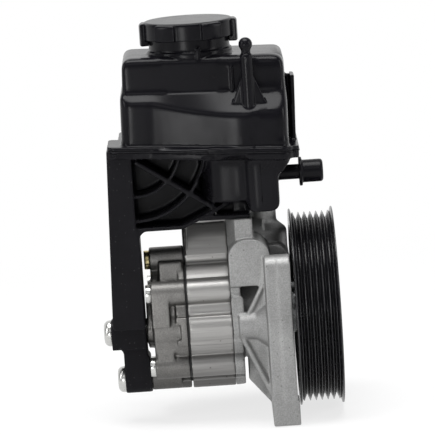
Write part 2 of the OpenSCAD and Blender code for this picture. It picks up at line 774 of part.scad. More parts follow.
// Vane pack
module cam_ring() {
    color("#8d8f92") difference() {
        rod_x(cam_x0, front_plate_x0, pack_d / 2 - run_clear);
        along_x(cam_x0 - over, front_plate_x0 + over) {
            for (side = [-1, 1]) translate([0, side * cam_lift]) circle(r = cam_small_r);
            translate([-cam_small_r, -cam_lift]) square([2 * cam_small_r, 2 * cam_lift]);
        }
        dowel_places() rod_x(cam_x0 - over, front_plate_x0 + over, dowel_d / 2 + fit_clear);
    }
}
module dowel_places() {
    for (side = [-1, 1]) translate([0, side * dowel_circle_d / 2, 0]) children();
}
module vane_places() {
    for (i = [0:vane_count - 1]) rotate([i * 360 / vane_count, 0, 0]) children();
}
module rotor() {
    color("#9a9c9f") difference() {
        rod_x(cam_x0 + run_clear, front_plate_x0 - run_clear, rotor_d / 2);
        along_x(cam_x0 - over, front_plate_x0 + over) spline_outline(fit_clear);
        vane_places() translate([cam_x0 - over, -vane_t / 2 - fit_clear, slot_floor_r])
            cube([cam_w + 2 * over, vane_t + 2 * fit_clear, vane_h + 2]);
        vane_places() rod_x(cam_x0 - over, front_plate_x0 + over, vane_t * 0.8, 0, slot_floor_r);
    }
}
module vanes() {
    color("#6f7275") vane_places()
        translate([cam_x0 + 2 * run_clear, -vane_t / 2, rotor_d / 2 - vane_h + 0.5])
            cube([cam_w - 4 * run_clear, vane_t, vane_h]);
}
module kidney_ports() {
    for (turn = [0, 180]) rotate(turn) difference() {
        intersection() {
            circle(r = rotor_d / 2 + 1.5);
            polygon([[0, 0], [2 * rotor_d, rotor_d], [2 * rotor_d, 3 * rotor_d], [rotor_d, 3 * rotor_d]]);
        }
        circle(r = rotor_d / 2 - 4);
    }
}
module pressure_plate(x0, x1) {
    difference() {
        rod_x(x0, x1, pack_d / 2 - run_clear);
        rod_x(x0 - over, x1 + over, spline_d / 2 + spline_tooth_h + 0.5);
        along_x(x0 - over, x1 + over) kidney_ports();
        dowel_places() rod_x(x0 - over, x1 + over, dowel_d / 2 + fit_clear);
    }
}
module front_plate() {
    color("#a3a5a6") pressure_plate(front_plate_x0, flange_x0);
}
module rear_plate() {
    color("#a3a5a6") pressure_plate(ring_x0, cam_x0);
}
module plate_spring() {
    color("#7c7f83") turned_x() polygon([
        [disc_spring_d / 2 - disc_spring_w, ring_x0 - disc_spring_t],
        [disc_spring_d / 2 - disc_spring_w, ring_x0],
        [disc_spring_d / 2, cover_x1 - disc_spring_h + disc_spring_t],
        [disc_spring_d / 2, cover_x1 - disc_spring_h]
    ]);
}
module dowel_pins() {
    color("#8a8c8f") dowel_places() rod_x(ring_x0 + 0.5, flange_x0 - 0.5, dowel_d / 2);
}

// Shaft, bearing and seals
module drive_shaft() {
    color("#94979a") difference() {
        union() {
            turned_x() polygon([
                [0, flange_x1], [shaft_d / 2, flange_x1], [shaft_d / 2, hub_x1 - 1],
                [shaft_d / 2 - 1, hub_x1], [0, hub_x1]
            ]);
            along_x(ring_x0, flange_x1) spline_outline();
            turned_x() polygon([
                [0, journal_x0], [journal_d / 2 - 1, journal_x0], [journal_d / 2, journal_x0 + 1],
                [journal_d / 2, journal_x1], [0, journal_x1]
            ]);
        }
        rod_x(hub_x1 - puller_hole_len, hub_x1 + over, puller_hole_r);
    }
}
module race(r_in, r_out) {
    difference() {
        ring_x(bearing_x0, bearing_x1, r_in, r_out);
        translate([bearing_mid, 0, 0]) turned_x() translate([ball_circle_r, 0]) circle(r = groove_ball_r);
    }
}
module bearing_outer_race() {
    color("#a0a3a6") race(ball_circle_r + race_gap / 2, bearing_d / 2);
}
module bearing_inner_race() {
    color("#a0a3a6") race(shaft_d / 2 + fit_clear, ball_circle_r - race_gap / 2);
}
module ball_places() {
    for (i = [0:ball_count - 1]) rotate([i * 360 / ball_count, 0, 0])
        translate([bearing_mid, 0, ball_circle_r]) children();
}
module bearing_balls() {
    color("#c8cacc") ball_places() sphere(d = ball_d);
}
module bearing_cage() {
    color("#b08d57") difference() {
        ring_x(bearing_mid - ball_d * 0.66, bearing_mid + ball_d * 0.66,
               ball_circle_r - race_gap / 2 + 0.6, ball_circle_r + race_gap / 2 - 0.6);
        ball_places() sphere(d = ball_d + 0.3);
    }
}
module bearing_circlip() {
    color("#5d6063") difference() {
        ring_x(bearing_x1, circlip_x1, bearing_d / 2 - circlip_h / 2, bearing_d / 2 + circlip_h / 2 - 0.3);
        translate([bearing_x1 - over, -4, 0]) cube([circlip_t + 2 * over, 8, bearing_d]);
    }
}
module shaft_seal() {
    color("#2b2b2b") turned_x() polygon([
        [seal_d / 2, seal_x0], [seal_d / 2, seal_x1], [seal_d / 2 - 2, seal_x1],
        [seal_d / 2 - 2, seal_x0 + 2], [shaft_d / 2 + 2, seal_x0 + 2], [shaft_d / 2 + 2, seal_x1 - 1.5],
        [shaft_d / 2 + run_clear, seal_x1 - 2.5], [shaft_d / 2 + run_clear, seal_x1 - 3],
        [shaft_d / 2 + 1, seal_x0 + 1], [shaft_d / 2 + 1, seal_x0]
    ]);
}
module rear_bush() {
    color("#b39a5b") ring_x(journal_x0, cover_x1 - disc_spring_h, journal_d / 2 + run_clear,
                            journal_d / 2 + bush_wall);
}

// Pulley
function groove_points() = [
    for (i = [0:groove_count - 1])
        let (middle = (i - (groove_count - 1) / 2) * groove_pitch)
            each [
                [rib_tip_r, middle - groove_half], [groove_root_r, middle - groove_root_half],
                [groove_root_r, middle + groove_root_half], [rib_tip_r, middle + groove_half]
            ]
];
function lip_points(side) = [
    [rib_tip_r, side * (belt_half + 0.15)],
    [rib_tip_r - lip_rise / 2, side * (belt_half + lip_w * 0.25)],
    [rib_tip_r + lip_rise - 0.3, side * (belt_half + lip_w * 0.6)],
    [rib_tip_r + lip_rise, side * (belt_half + lip_w * 0.7)],
    [rib_tip_r + lip_rise, side * (pulley_half - 0.3)],
    [rib_tip_r + lip_rise - 0.3, side * pulley_half],
    [rim_in_r, side * pulley_half]
];
function reversed(list) = [for (i = [len(list) - 1:-1:0]) list[i]];
module pulley() {
    color("#1a1a1c") difference() {
        turned_x() polygon(concat(
            [
                [pilot_d / 2 + fit_clear, web_x1], [pilot_d / 2 + fit_clear, web_x0],
                [rim_in_r - web_fillet, web_x0], [rim_in_r, web_x0 - web_fillet]
            ],
            reversed(lip_points(-1)), groove_points(), lip_points(1),
            [[rim_in_r, web_x1 + web_fillet], [rim_in_r - web_fillet, web_x1]]
        ));
        for (i = [0:web_hole_count - 1]) rotate([i * 360 / web_hole_count, 0, 0])
            rod_x(web_x0 - over, web_x1 + over, web_hole_d / 2, 0, web_hole_circle_d / 2);
        pulley_bolt_places() rod_x(web_x0 - over, web_x1 + over, pulley_bolt_d / 2 + loose_clear);
    }
}
module pulley_bolt_places() {
    for (i = [0:pulley_bolt_count - 1]) rotate([i * 360 / pulley_bolt_count, 0, 0])
        translate([0, 0, pulley_bolt_circle_d / 2]) children();
}
module pulley_hub() {
    color("#77797c") difference() {
        turned_x() polygon([
            [shaft_d / 2 + fit_clear, hub_x0], [hub_sleeve_d / 2, hub_x0], [hub_sleeve_d / 2, web_x0 - hub_flange_t],
            [hub_flange_d / 2, web_x0 - hub_flange_t], [hub_flange_d / 2, web_x0], [pilot_d / 2, web_x0],
            [pilot_d / 2, hub_x1], [shaft_d / 2 + fit_clear, hub_x1]
        ]);
        pulley_bolt_places() rod_x(web_x0 - hub_flange_t - over, web_x0 + over, pulley_bolt_d / 2 + fit_clear);
    }
}
module pulley_bolts() {
    color("#8b8d8f") pulley_bolt_places() {
        rod_x(web_x0 - hub_flange_t, web_x1 + over, pulley_bolt_d / 2);
        rod_x(web_x1, web_x1 + pulley_bolt_washer_h, pulley_bolt_hex * 0.62);
        translate([web_x1 + pulley_bolt_washer_h - 0.2, 0, 0]) rotate([0, 90, 0])
            cylinder(d = pulley_bolt_hex / cos(30), h = pulley_bolt_head_h, $fn = 6);
    }
}

// Flow control valve
module valve_spool() {
    land_gap = spool_len / 4;
    color("#b4b6b8") translate([valve_x, spool_y0, valve_z]) rotate([-90, 0, 0]) rotate_extrude() polygon([
        [0, 0], [valve_bore_r - run_clear, 0], [valve_bore_r - run_clear, land_gap],
        [valve_bore_r - 2, land_gap], [valve_bore_r - 2, 2 * land_gap],
        [valve_bore_r - run_clear, 2 * land_gap], [valve_bore_r - run_clear, 3.5 * land_gap],
        [valve_bore_r - 3, 3.5 * land_gap], [valve_bore_r - 3, spool_len], [0, spool_len]
    ]);
}
coil_turns = 6;
coil_steps = 16;
coil_sides = 8;
coil_r = valve_bore_r - valve_wire_d / 2 - 0.6;
coil_rise = valve_spring_len - valve_wire_d;
function coil_point(i, j) =
    let (
        turn = i / (coil_turns * coil_steps),
        a = 360 * i / coil_steps,
        b = 360 * j / coil_sides,
        r = coil_r + valve_wire_d / 2 * cos(b)
    )
    [r * cos(a), r * sin(a), valve_wire_d / 2 * sin(b) + valve_wire_d / 2 + coil_rise * turn];
module valve_spring() {
    rings = coil_turns * coil_steps;
    color("#82858a") translate([valve_x, valve_spring_y0, valve_z]) rotate([-90, 0, 0]) polyhedron(
        points = [for (i = [0:rings], j = [0:coil_sides - 1]) coil_point(i, j)],
        faces = concat(
            [[for (j = [0:coil_sides - 1]) j]],
            [for (i = [0:rings - 1], j = [0:coil_sides - 1]) let (k = (j + 1) % coil_sides)
                [i * coil_sides + j, (i + 1) * coil_sides + j, (i + 1) * coil_sides + k, i * coil_sides + k]],
            [[for (j = [coil_sides - 1:-1:0]) rings * coil_sides + j]]
        )
    );
}
module valve_plug() {
    color("#9c9ea0") difference() {
        rod_y(plug_y0, valve_y1, valve_bore_r - fit_clear, valve_x, valve_z);
        translate([valve_x, valve_y1 - plug_socket_depth, valve_z]) rotate([-90, 0, 0])
            cylinder(d = plug_socket_w / cos(30), h = plug_socket_depth + over, $fn = 6);
        valve_seal_groove();
    }
}
module valve_seal_groove() {
    translate([valve_x, plug_y0 + 3, valve_z]) rotate([-90, 0, 0]) difference() {
        cylinder(r = valve_bore_r + over, h = 3);
        translate([0, 0, -over]) cylinder(r = valve_bore_r - 2.2, h = 3 + 2 * over);
    }
}
module valve_plug_seal() {
    color("#222222") translate([valve_x, plug_y0 + 4.5, valve_z]) rotate([-90, 0, 0]) rotate_extrude()
        translate([valve_bore_r - 1.1, 0]) circle(r = 1.05);
}

// Reservoir
// Draws in a frame that lies on the sloping seam, with X as on the whole part
module on_seam() {
    translate([tank_mid, 0, seam_z]) rotate([0, seam_tilt, 0]) translate([-tank_mid, 0, 0]) children();
}
// Draws in a frame that leans with the tank's upper half
module on_tank() {
    translate([tank_mid, 0, seam_z]) rotate([0, top_tilt, 0]) translate([-tank_mid, 0, -seam_z]) children();
}
module above_seam() {
    on_seam() translate([tank_mid - 200, -200, 0]) cube([400, 400, 200]);
}
module below_seam() {
    on_seam() translate([tank_mid - 200, -200, -200]) cube([400, 400, 200]);
}
// Plan of the lower band: a rounded box with a bulge and a squarer box beside it
module band_plan(grow) {
    rounded_rect(tank_x0 - grow, tank_x1 + grow, -band_y - grow, box_half_y + 2 + grow, box_corner_r + grow);
    intersection() {
        translate([bulge_x, bulge_arc_r - bulge_y]) circle(r = bulge_arc_r + grow, $fn = 128);
        translate([tank_x0 + 12, -bulge_y - 10]) square([front_box_x0 + 5 - tank_x0 - 12, bulge_y + 10]);
    }
    rounded_rect(front_box_x0 - grow, tank_x1 + grow, -front_box_y - grow, 0, box_corner_r + grow);
}
// Side of the lower band, seen along the shaft: a roof that slopes to the front
module band_roof(inset) {
    low = seam_z - 30;
    polygon([
        [-2 * box_half_y, low], [-2 * box_half_y, shoulder_z - box_half_y - 1.41 * inset],
        [-box_half_y, shoulder_z - 1.41 * inset], [box_half_y, shoulder_z - 1.41 * inset],
        [box_half_y + 2, shoulder_z - 2 - 1.41 * inset], [2 * box_half_y, low]
    ]);
}
module tank_band(inset) {
    intersection() {
        along_z(seam_z - 20, shoulder_z + 2) band_plan(-inset);
        along_x(tank_x0 - 20, tank_x1 + 20) band_roof(inset);
    }
}
module box_side(inset) {
    polygon(rounded_corners([
        [tank_x0 + 0.6 + inset, seam_z - 10, 0], [tank_x1 - inset, seam_z - 10, 0],
        [tank_x1 - box_draft - inset, top_z - inset, box_edge_r + 1],
        [tank_x0 + 0.6 + box_draft + inset, top_z - inset, box_edge_r + 1]
    ]));
}
module box_end(inset) {
    edge_r = max(box_edge_r - inset, 0.6);
    polygon(rounded_corners([
        [-box_half_y + inset, seam_z - 10, 0], [box_half_y - inset, seam_z - 10, 0],
        [box_half_y - box_draft - inset, top_z - inset, edge_r], [-box_half_y + box_draft + inset, top_z - inset, edge_r]
    ]));
}
module tank_box(inset) {
    intersection() {
        along_y(-box_half_y - 5, box_half_y + 5) box_side(inset);
        along_x(tank_x0 - 5, tank_x1 + 5) box_end(inset);
        along_z(seam_z - 10, top_z + 10)
            rounded_rect(tank_x0 + inset, tank_x1 - inset, -box_half_y + inset, box_half_y - inset,
                         box_corner_r - inset / 2);
    }
}
module seam_plan() {
    band_plan(seam_flange_w);
    rounded_rect(flange_left, tank_x0 + 15, -band_y - seam_flange_w, leg_y1, 4);
    rounded_rect(tank_x1 - 15, flange_right, -band_y - seam_flange_w, box_half_y + 2 + seam_flange_w, 4);
}
module clip_peg() {
    peg_x = neck_x - 4;
    base_z = shoulder_z - peg_out - 1.5;
    translate([peg_x, -box_half_y - peg_out, 0]) {
        rod_z(base_z - 4, shoulder_z + peg_h - 3, peg_d / 2);
        rod_z(shoulder_z, shoulder_z + peg_h, peg_d / 2 - 1);
        translate([0, 0, shoulder_z + peg_h + peg_ball_d / 2 - 1.2]) sphere(d = peg_ball_d);
        along_y(-1, 1) polygon([
            [-peg_fin_reach, base_z - 2], [-peg_fin_reach, base_z + 0.5], [1 - peg_d / 2, base_z + peg_fin_h + 1.5],
            [peg_d / 2 - 1, base_z + peg_fin_h + 1.5], [peg_fin_reach, base_z + 0.5], [peg_fin_reach, base_z - 2]
        ]);
    }
}
module side_rail() {
    intersection() {
        union() {
            on_tank() {
                translate([tank_x1 - 3, -1.5, seam_z - 10]) cube([rail_w + 3, 3, rail_h + 10]);
                translate([tank_x1 + rail_w - 2.5, -9, seam_z - 10]) cube([2.5, 18, rail_h + 10]);
            }
        }
        above_seam();
    }
}
module mould_ridge() {
    rod_z(shoulder_z, top_z - 6, 0.6, bulge_x, -box_half_y + 0.4);
}
module filler_neck_outer() {
    rod_z(top_z - 6, filler_top_z, filler_r, filler_x, -filler_y);
    rod_z(top_z - 6, top_z + 2.6, filler_r + 1.2, filler_x, -filler_y);
    translate([filler_x + 4, -filler_y - filler_r - 1.6, top_z - 4]) cube([1.8, 4, cap_z0 - top_z + 3]);
}
module reservoir_upper() {
    color("#19191b") difference() {
        union() {
            intersection() {
                on_tank() {
                    tank_band(0);
                    tank_box(0);
                }
                above_seam();
            }
            on_seam() along_z(0, upper_flange_t) seam_plan();
            filler_neck_outer();
            clip_peg();
            mould_ridge();
            side_rail();
        }
        on_tank() {
            tank_band(tank_wall);
            tank_box(tank_wall);
        }
        rod_z(top_z - 10, filler_top_z + over, filler_bore_r, filler_x, -filler_y);
    }
}

// Side of the bowl, with the floor over the pump and the deeper sump over the neck
module bowl_side(inset) {
    polygon(rounded_corners([
        [bowl_x0 + inset, seam_z + 10, 0], [bowl_x0 + inset, bowl_floor_z + inset, 7],
        [sump_x0 + inset, bowl_floor_z + inset, 2], [sump_x0 + inset, sump_z + inset, 1.5],
        [sump_x1 - inset, sump_z + inset, 5], [sump_x1 - inset, sump_z + 21, 3],
        [tank_x1 - inset, sump_z + 29, 3], [tank_x1 - inset, seam_z + 10, 0]
    ]));
}
module bowl_plan(inset) {
    turn_x = bowl_x0 + bowl_turn_r;
    turn_y = bowl_turn_r - bowl_front_y;
    translate([turn_x, turn_y]) circle(r = bowl_turn_r - inset, $fn = 96);
    translate([turn_x, inset - bowl_front_y]) square([tank_x1 - turn_x - 12, bowl_front_y]);
    rounded_rect(bowl_x0 + inset, tank_x1 - inset, turn_y - 11 + inset, bowl_back_y - inset, 11 - inset);
    rounded_rect(turn_x, tank_x1 - inset, inset - bowl_front_y, 0, 6 - inset);
    rounded_rect(sump_x0 + inset, tank_x1 - inset, -front_box_y + inset, 0, box_corner_r - inset);
}
module bowl(inset) {
    intersection() {
        along_y(-front_box_y - 5, bowl_back_y + 5) bowl_side(inset);
        along_z(sump_z - 5, seam_z + 10) bowl_plan(inset);
    }
}
module leg_side() {
    polygon(rounded_corners([
        [leg_x0_top, seam_z + 10, 0], [leg_x1 - 1.8, seam_z + 10, 0], [leg_x1 - 1.8, web_edge_z - 1, 0],
        [leg_x1, web_edge_z - 5, 0], [leg_x1, leg_end_z, 0], [leg_x0_foot, leg_end_z, 2]
    ]));
}
module leg() {
    pocket_count = 4;
    pocket_h = (web_edge_z - leg_end_z - 6) / pocket_count;
    difference() {
        along_y(leg_y0, leg_y1) leg_side();
        for (i = [0:pocket_count - 1])
            translate([leg_x1 - leg_top_t - 0.5, leg_y0 + 3, leg_end_z + 5 + i * pocket_h])
                cube([leg_top_t - 2.5, leg_depth, pocket_h - 2.5]);
    }
}
module foot() {
    translate([upper_head_x, -screw_y - 13, foot_mid_z]) cube([leg_x1 - upper_head_x, 22, leg_end_z - foot_mid_z + 1]);
    rod_x(upper_head_x, upper_seat_x, screw_boss_r, -screw_y, upper_screw_z);
    rod_x(lower_head_x, lower_seat_x, screw_boss_r, -screw_y, lower_screw_z);
    along_y(-screw_y - screw_boss_r, -screw_y + screw_boss_r) polygon([
        [lower_head_x, lower_screw_z], [lower_head_x, foot_mid_z - 3], [lower_head_x - 2.5, foot_mid_z + 1],
        [leg_x1, foot_mid_z + 1], [leg_x1, -cover_boss_r - 0.5], [lower_seat_x, -cover_boss_r - 2.5],
        [lower_seat_x, lower_screw_z]
    ]);
}
// A bar of the given thickness between two points in the X-Z plane
module bar(from, to, t) {
    run = to - from;
    translate(from) rotate(atan2(run[1], run[0])) translate([0, -t / 2]) square([norm(run), t]);
}
module web_panel() {
    edge_a = [leg_x1 - 3, web_edge_z];
    corner = [rib_centre_x, rib_centre_z];
    along_y(web_y0, web_y1) polygon([edge_a, edge_b, edge_c, [edge_c[0], seam_z + 10], [edge_a[0], seam_z + 10]]);
    along_y(leg_y0 + 1.5, web_y1) {
        bar(edge_a, edge_b, 2.2);
        bar(edge_b, edge_c, 2.2);
        translate(edge_b) circle(r = 1.1);
        translate([leg_x1 - 1, web_edge_z - 1 - leg_fillet]) difference() {
            square([leg_fillet + 1, leg_fillet + 1]);
            translate([leg_fillet + 1, 0]) circle(r = leg_fillet);
        }
    }
    along_y(rib_y0, web_y0 + 1) intersection() {
        union() {
            for (r = [rib_arc_r, rib_arc_r + rib_arc_step]) translate(corner) difference() {
                circle(r = r + rib_t / 2, $fn = 96);
                circle(r = r - rib_t / 2, $fn = 96);
            }
            bar([leg_x1, seam_z - 4.5], [bowl_x0 + 8.5, sump_z + 2], 1.6 * rib_t);
        }
        polygon([edge_a, edge_b, edge_c, [edge_c[0], seam_z + 10], [edge_a[0], seam_z + 10]]);
    }
}
module front_foot() {
    along_z(neck_z, neck_z + foot_plate_t)
        translate([foot_plate_x0, lug_y0 + 2]) square([lug_x1 - 1 - foot_plate_x0, lug_y1 - lug_y0 - 4]);
    rod_z(neck_z, bowl_floor_z + 2, 4.8, lug_front_x0 + 4.5, (lug_y0 + lug_y1) / 2);
}
module reservoir_lower() {
    color("#151517") difference() {
        union() {
            intersection() {
                union() {
                    bowl(0);
                    leg();
                    web_panel();
                }
                below_seam();
            }
            on_seam() along_z(-lower_flange_t, 0) seam_plan();
            foot();
            front_foot();
            rod_z(lip_z, sump_z + 2, neck_r, neck_x);
            rod_z(neck_z - neck_bore_len + 2, sump_z + 1, spigot_r, neck_x);
            rod_x(sump_x1 - 2, nipple_x1, nipple_r, nipple_y, nipple_z);
        }
        bowl(tank_wall);
        on_seam() along_z(-lower_flange_t - over, over) intersection() {
            band_plan(-tank_wall);
            bowl_plan(tank_wall);
        }
        rod_z(neck_z - neck_bore_len, sump_z + 5, spigot_bore_r, neck_x);
        rod_x(sump_x1 - 5, nipple_x1 + over, nipple_bore_r, nipple_y, nipple_z);
        rod_x(upper_head_x - over, upper_seat_x + over, screw_hole_r, -screw_y, upper_screw_z);
        rod_x(lower_head_x - over, lower_seat_x + over, screw_hole_r, -screw_y, lower_screw_z);
    }
}

module filler_cap() {
    color("#1d1d1f") translate([filler_x, -filler_y, 0]) difference() {
        union() {
            rotate_extrude() polygon(rounded_corners([
                [0, cap_z0 + grip_drop, 0], [cap_r, cap_z0 + grip_drop, 0], [cap_r, cap_z1, 1.6], [0, cap_z1, 0]
            ]));
            for (i = [0:grip_count - 1]) rotate(i * 360 / grip_count) intersection() {
                grip_z0 = i % (grip_count / 2) == 0 ? cap_z0 : cap_z0 + grip_drop;
                rotate_extrude() polygon(rounded_corners([
                    [0, grip_z0, 0], [cap_grip_r, grip_z0, 0.8], [cap_grip_r, cap_z1 - 0.6, 1.6], [0, cap_z1 - 0.6, 0]
                ]));
                along_z(cap_z0 - over, cap_z1 + over) polygon([
                    [0, 0],
                    [2 * cap_grip_r, -2 * cap_grip_r * tan(grip_angle / 2)],
                    [2 * cap_grip_r, 2 * cap_grip_r * tan(grip_angle / 2)]
                ]);
            }
        }
        rod_z(cap_z0 - over, cap_ceiling_z, cap_bore_r);
    }
}
module cap_seal() {
    color("#242424") translate([filler_x, -filler_y, 0]) difference() {
        rod_z(filler_top_z, cap_ceiling_z, filler_r - 0.4);
        rod_z(filler_top_z - over, cap_ceiling_z + over, filler_bore_r + 0.2);
    }
}
module dipstick() {
    color("#c9b27a") translate([filler_x, -filler_y, 0]) {
        rod_z(cap_ceiling_z - dipstick_head_t - 4, cap_ceiling_z, plug_ring_r);
        translate([-2, -0.9, cap_ceiling_z - dipstick_head_t - dipstick_len]) cube([4, 1.8, dipstick_len]);
    }
}
module outlet_strainer() {
    slot_count = 8;
    strainer_h = 24;
    z0 = sump_z + tank_wall;
    color("#d8d4c4") translate([neck_x, 0, 0]) difference() {
        rod_z(z0, z0 + strainer_h, strainer_r);
        rod_z(z0 - over, z0 + strainer_h - 1.2, strainer_r - 1);
        for (i = [0:slot_count - 1], level = [0, 1]) rotate(i * 360 / slot_count)
            translate([strainer_r - 2, -0.9, z0 + 3 + level * strainer_h * 0.45]) cube([4, 1.8, strainer_h * 0.35]);
    }
}
module inlet_seal() {
    color("#262626") translate([neck_x, 0, 0]) rotate_extrude() polygon([
        [spigot_r + fit_clear, neck_z - neck_bore_len + 3], [neck_bore_r - fit_clear, neck_z - neck_bore_len + 3],
        [neck_bore_r - fit_clear, neck_z], [neck_r, neck_z], [neck_r, lip_z], [spigot_r + fit_clear, lip_z]
    ]);
}
module return_port_cap() {
    color("#1b1b1d") translate([0, nipple_y, nipple_z]) difference() {
        turned_x() polygon(rounded_corners([
            [0, port_cap_x0, 0], [port_collar_r, port_cap_x0, 0.3], [port_collar_r, port_cap_x0 + 1.9, 0.3],
            [port_cap_r, port_cap_x0 + 1.9, 0], [port_cap_r, port_cap_x1, 1.8], [0, port_cap_x1, 0]
        ]));
        rod_x(port_cap_x0 - over, nipple_x1 + 1, nipple_r + loose_clear);
    }
}
module screw(head_x, seat_x, z) {
    translate([head_x, -screw_y, z]) difference() {
        turned_x() polygon(rounded_corners([
            [0, -screw_head_h, 0], [screw_head_d / 2, -screw_head_h, 3.4], [screw_head_d / 2, 0, 0],
            [screw_d / 2, 0, 0], [screw_d / 2, seat_x - head_x + cover_tap_len - 1, 1],
            [0, seat_x - head_x + cover_tap_len - 1, 0]
        ]));
        translate([-screw_head_h - over, 0, 0]) rotate([0, 90, 0]) cylinder(d = screw_d * 0.8, h = 2.6 + over, $fn = 6);
    }
}
module reservoir_screws() {
    color("#c9cbcc") {
        screw(upper_head_x, upper_seat_x, upper_screw_z);
        screw(lower_head_x, lower_seat_x, lower_screw_z);
    }
}
module bush_sleeve(x0, x1, z) {
    translate([0, -screw_y, z]) ring_x(x0, x1, screw_d / 2 + 0.2, screw_hole_r - fit_clear);
}
module screw_bushes() {
    color("#a7a9ab") {
        bush_sleeve(upper_head_x, upper_seat_x, upper_screw_z);
        bush_sleeve(lower_head_x, lower_seat_x, lower_screw_z);
    }
}

reservoir_upper();
reservoir_lower();
filler_cap();
cap_seal();
dipstick();
outlet_strainer();
inlet_seal();
return_port_cap();
reservoir_screws();
screw_bushes();
front_housing();
ring_housing();
rear_cover();
cover_gasket();
cover_bolts();
cam_ring();
rotor();
vanes();
front_plate();
rear_plate();
plate_spring();
dowel_pins();
drive_shaft();
bearing_outer_race();
bearing_inner_race();
bearing_balls();
bearing_cage();
bearing_circlip();
shaft_seal();
rear_bush();
pulley();
pulley_hub();
pulley_bolts();
valve_spool();
valve_spring();
valve_plug();
valve_plug_seal();
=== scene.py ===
"""Looks of a power steering pump with its own fluid reservoir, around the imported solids."""

import json
import logging
import math
from dataclasses import dataclass, field
from enum import Enum

import bmesh
import bpy
from mathutils import Matrix, Vector

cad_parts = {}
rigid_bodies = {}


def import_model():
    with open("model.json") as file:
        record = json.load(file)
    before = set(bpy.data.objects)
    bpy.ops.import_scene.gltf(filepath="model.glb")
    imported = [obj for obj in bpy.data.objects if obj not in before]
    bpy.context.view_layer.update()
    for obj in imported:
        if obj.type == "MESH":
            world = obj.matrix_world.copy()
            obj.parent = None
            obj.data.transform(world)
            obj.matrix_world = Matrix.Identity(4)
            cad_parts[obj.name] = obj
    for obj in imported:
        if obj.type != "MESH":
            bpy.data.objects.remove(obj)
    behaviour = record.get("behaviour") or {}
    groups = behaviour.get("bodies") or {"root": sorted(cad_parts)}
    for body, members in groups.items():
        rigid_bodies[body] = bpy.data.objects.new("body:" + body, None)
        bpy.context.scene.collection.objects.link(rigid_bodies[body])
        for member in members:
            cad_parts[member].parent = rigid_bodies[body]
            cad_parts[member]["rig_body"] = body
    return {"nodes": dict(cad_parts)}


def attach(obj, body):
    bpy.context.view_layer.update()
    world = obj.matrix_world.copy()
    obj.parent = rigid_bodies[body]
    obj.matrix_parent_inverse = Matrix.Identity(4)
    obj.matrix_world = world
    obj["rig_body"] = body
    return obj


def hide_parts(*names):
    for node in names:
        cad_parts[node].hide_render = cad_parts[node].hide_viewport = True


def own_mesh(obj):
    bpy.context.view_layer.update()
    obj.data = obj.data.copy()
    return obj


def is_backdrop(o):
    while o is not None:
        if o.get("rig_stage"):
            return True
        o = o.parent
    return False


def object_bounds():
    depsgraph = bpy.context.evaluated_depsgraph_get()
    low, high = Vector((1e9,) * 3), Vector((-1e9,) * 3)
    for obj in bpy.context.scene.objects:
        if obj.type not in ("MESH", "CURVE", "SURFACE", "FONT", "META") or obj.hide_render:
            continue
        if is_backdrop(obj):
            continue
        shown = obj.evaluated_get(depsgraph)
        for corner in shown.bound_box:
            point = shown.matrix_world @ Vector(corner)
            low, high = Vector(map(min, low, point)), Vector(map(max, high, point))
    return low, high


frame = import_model()

LOG = logging.getLogger("pump")
MM = 0.001
IMAGE_PX = 435
MERGE_MM = 0.004
FLAT_DEG = 0.4
SAME_PLANE_DEG = 0.01
BEVEL_DEG = 28.0
SHARP_DEG = 40.0
MATT_ROUGHNESS = 0.62
MATT_EDGE_MM = 0.3

Colour = tuple[float, float, float]
Point = tuple[float, float, float]
Tree = bpy.types.NodeTree
Socket = bpy.types.NodeSocket
Shape = bmesh.types.BMesh
BUILT: dict[str, bpy.types.Material] = {}


class Grain(Enum):
    """What the surface of a finish looks like close up."""

    MOULDED = "moulded"
    CAST = "cast"
    DRAWN = "drawn"
    TURNED = "turned"


@dataclass(frozen=True)
class Region:
    """A box in the part's frame, in millimetres.

    Attributes:
        low: The lowest corner.
        high: The highest corner.
    """

    low: Point = (-1000.0, -1000.0, -1000.0)
    high: Point = (1000.0, 1000.0, 1000.0)

    def holds(self, place: Vector) -> bool:
        """Tells whether a place lies in the box.

        Args:
            place: The place, in metres.

        Returns:
            True if it does.
        """
        return all(a * MM <= v <= b * MM for a, v, b in zip(self.low, place, self.high))


@dataclass(frozen=True)
class Post:
    """An upright round post in the part's frame, in millimetres.

    Attributes:
        x: Place of its axis along the shaft.
        y: Place of its axis from front to back.
        r: Its radius.
    """

    x: float
    y: float
    r: float

    def holds(self, place: Vector) -> bool:
        """Tells whether a place lies in the post.

        Args:
            place: The place, in metres.

        Returns:
            True if it does.
        """
        return math.hypot(place.x / MM - self.x, place.y / MM - self.y) < self.r


@dataclass(frozen=True)
class Melt:
    """One pass that draws the points of a surface together.

    Attributes:
        rounds: How often they are drawn together.
        regions: Where that happens.
        spared: What is left out of those places.
    """

    rounds: int
    regions: tuple[Region, ...] = (Region(),)
    spared: tuple[Post | Region, ...] = ()

    def holds(self, place: Vector) -> bool:
        """Tells whether the pass moves a place.

        Args:
            place: The place, in metres.

        Returns:
            True if it does.
        """
        if not any(region.holds(place) for region in self.regions):
            return False
        return not any(part.holds(place) for part in self.spared)


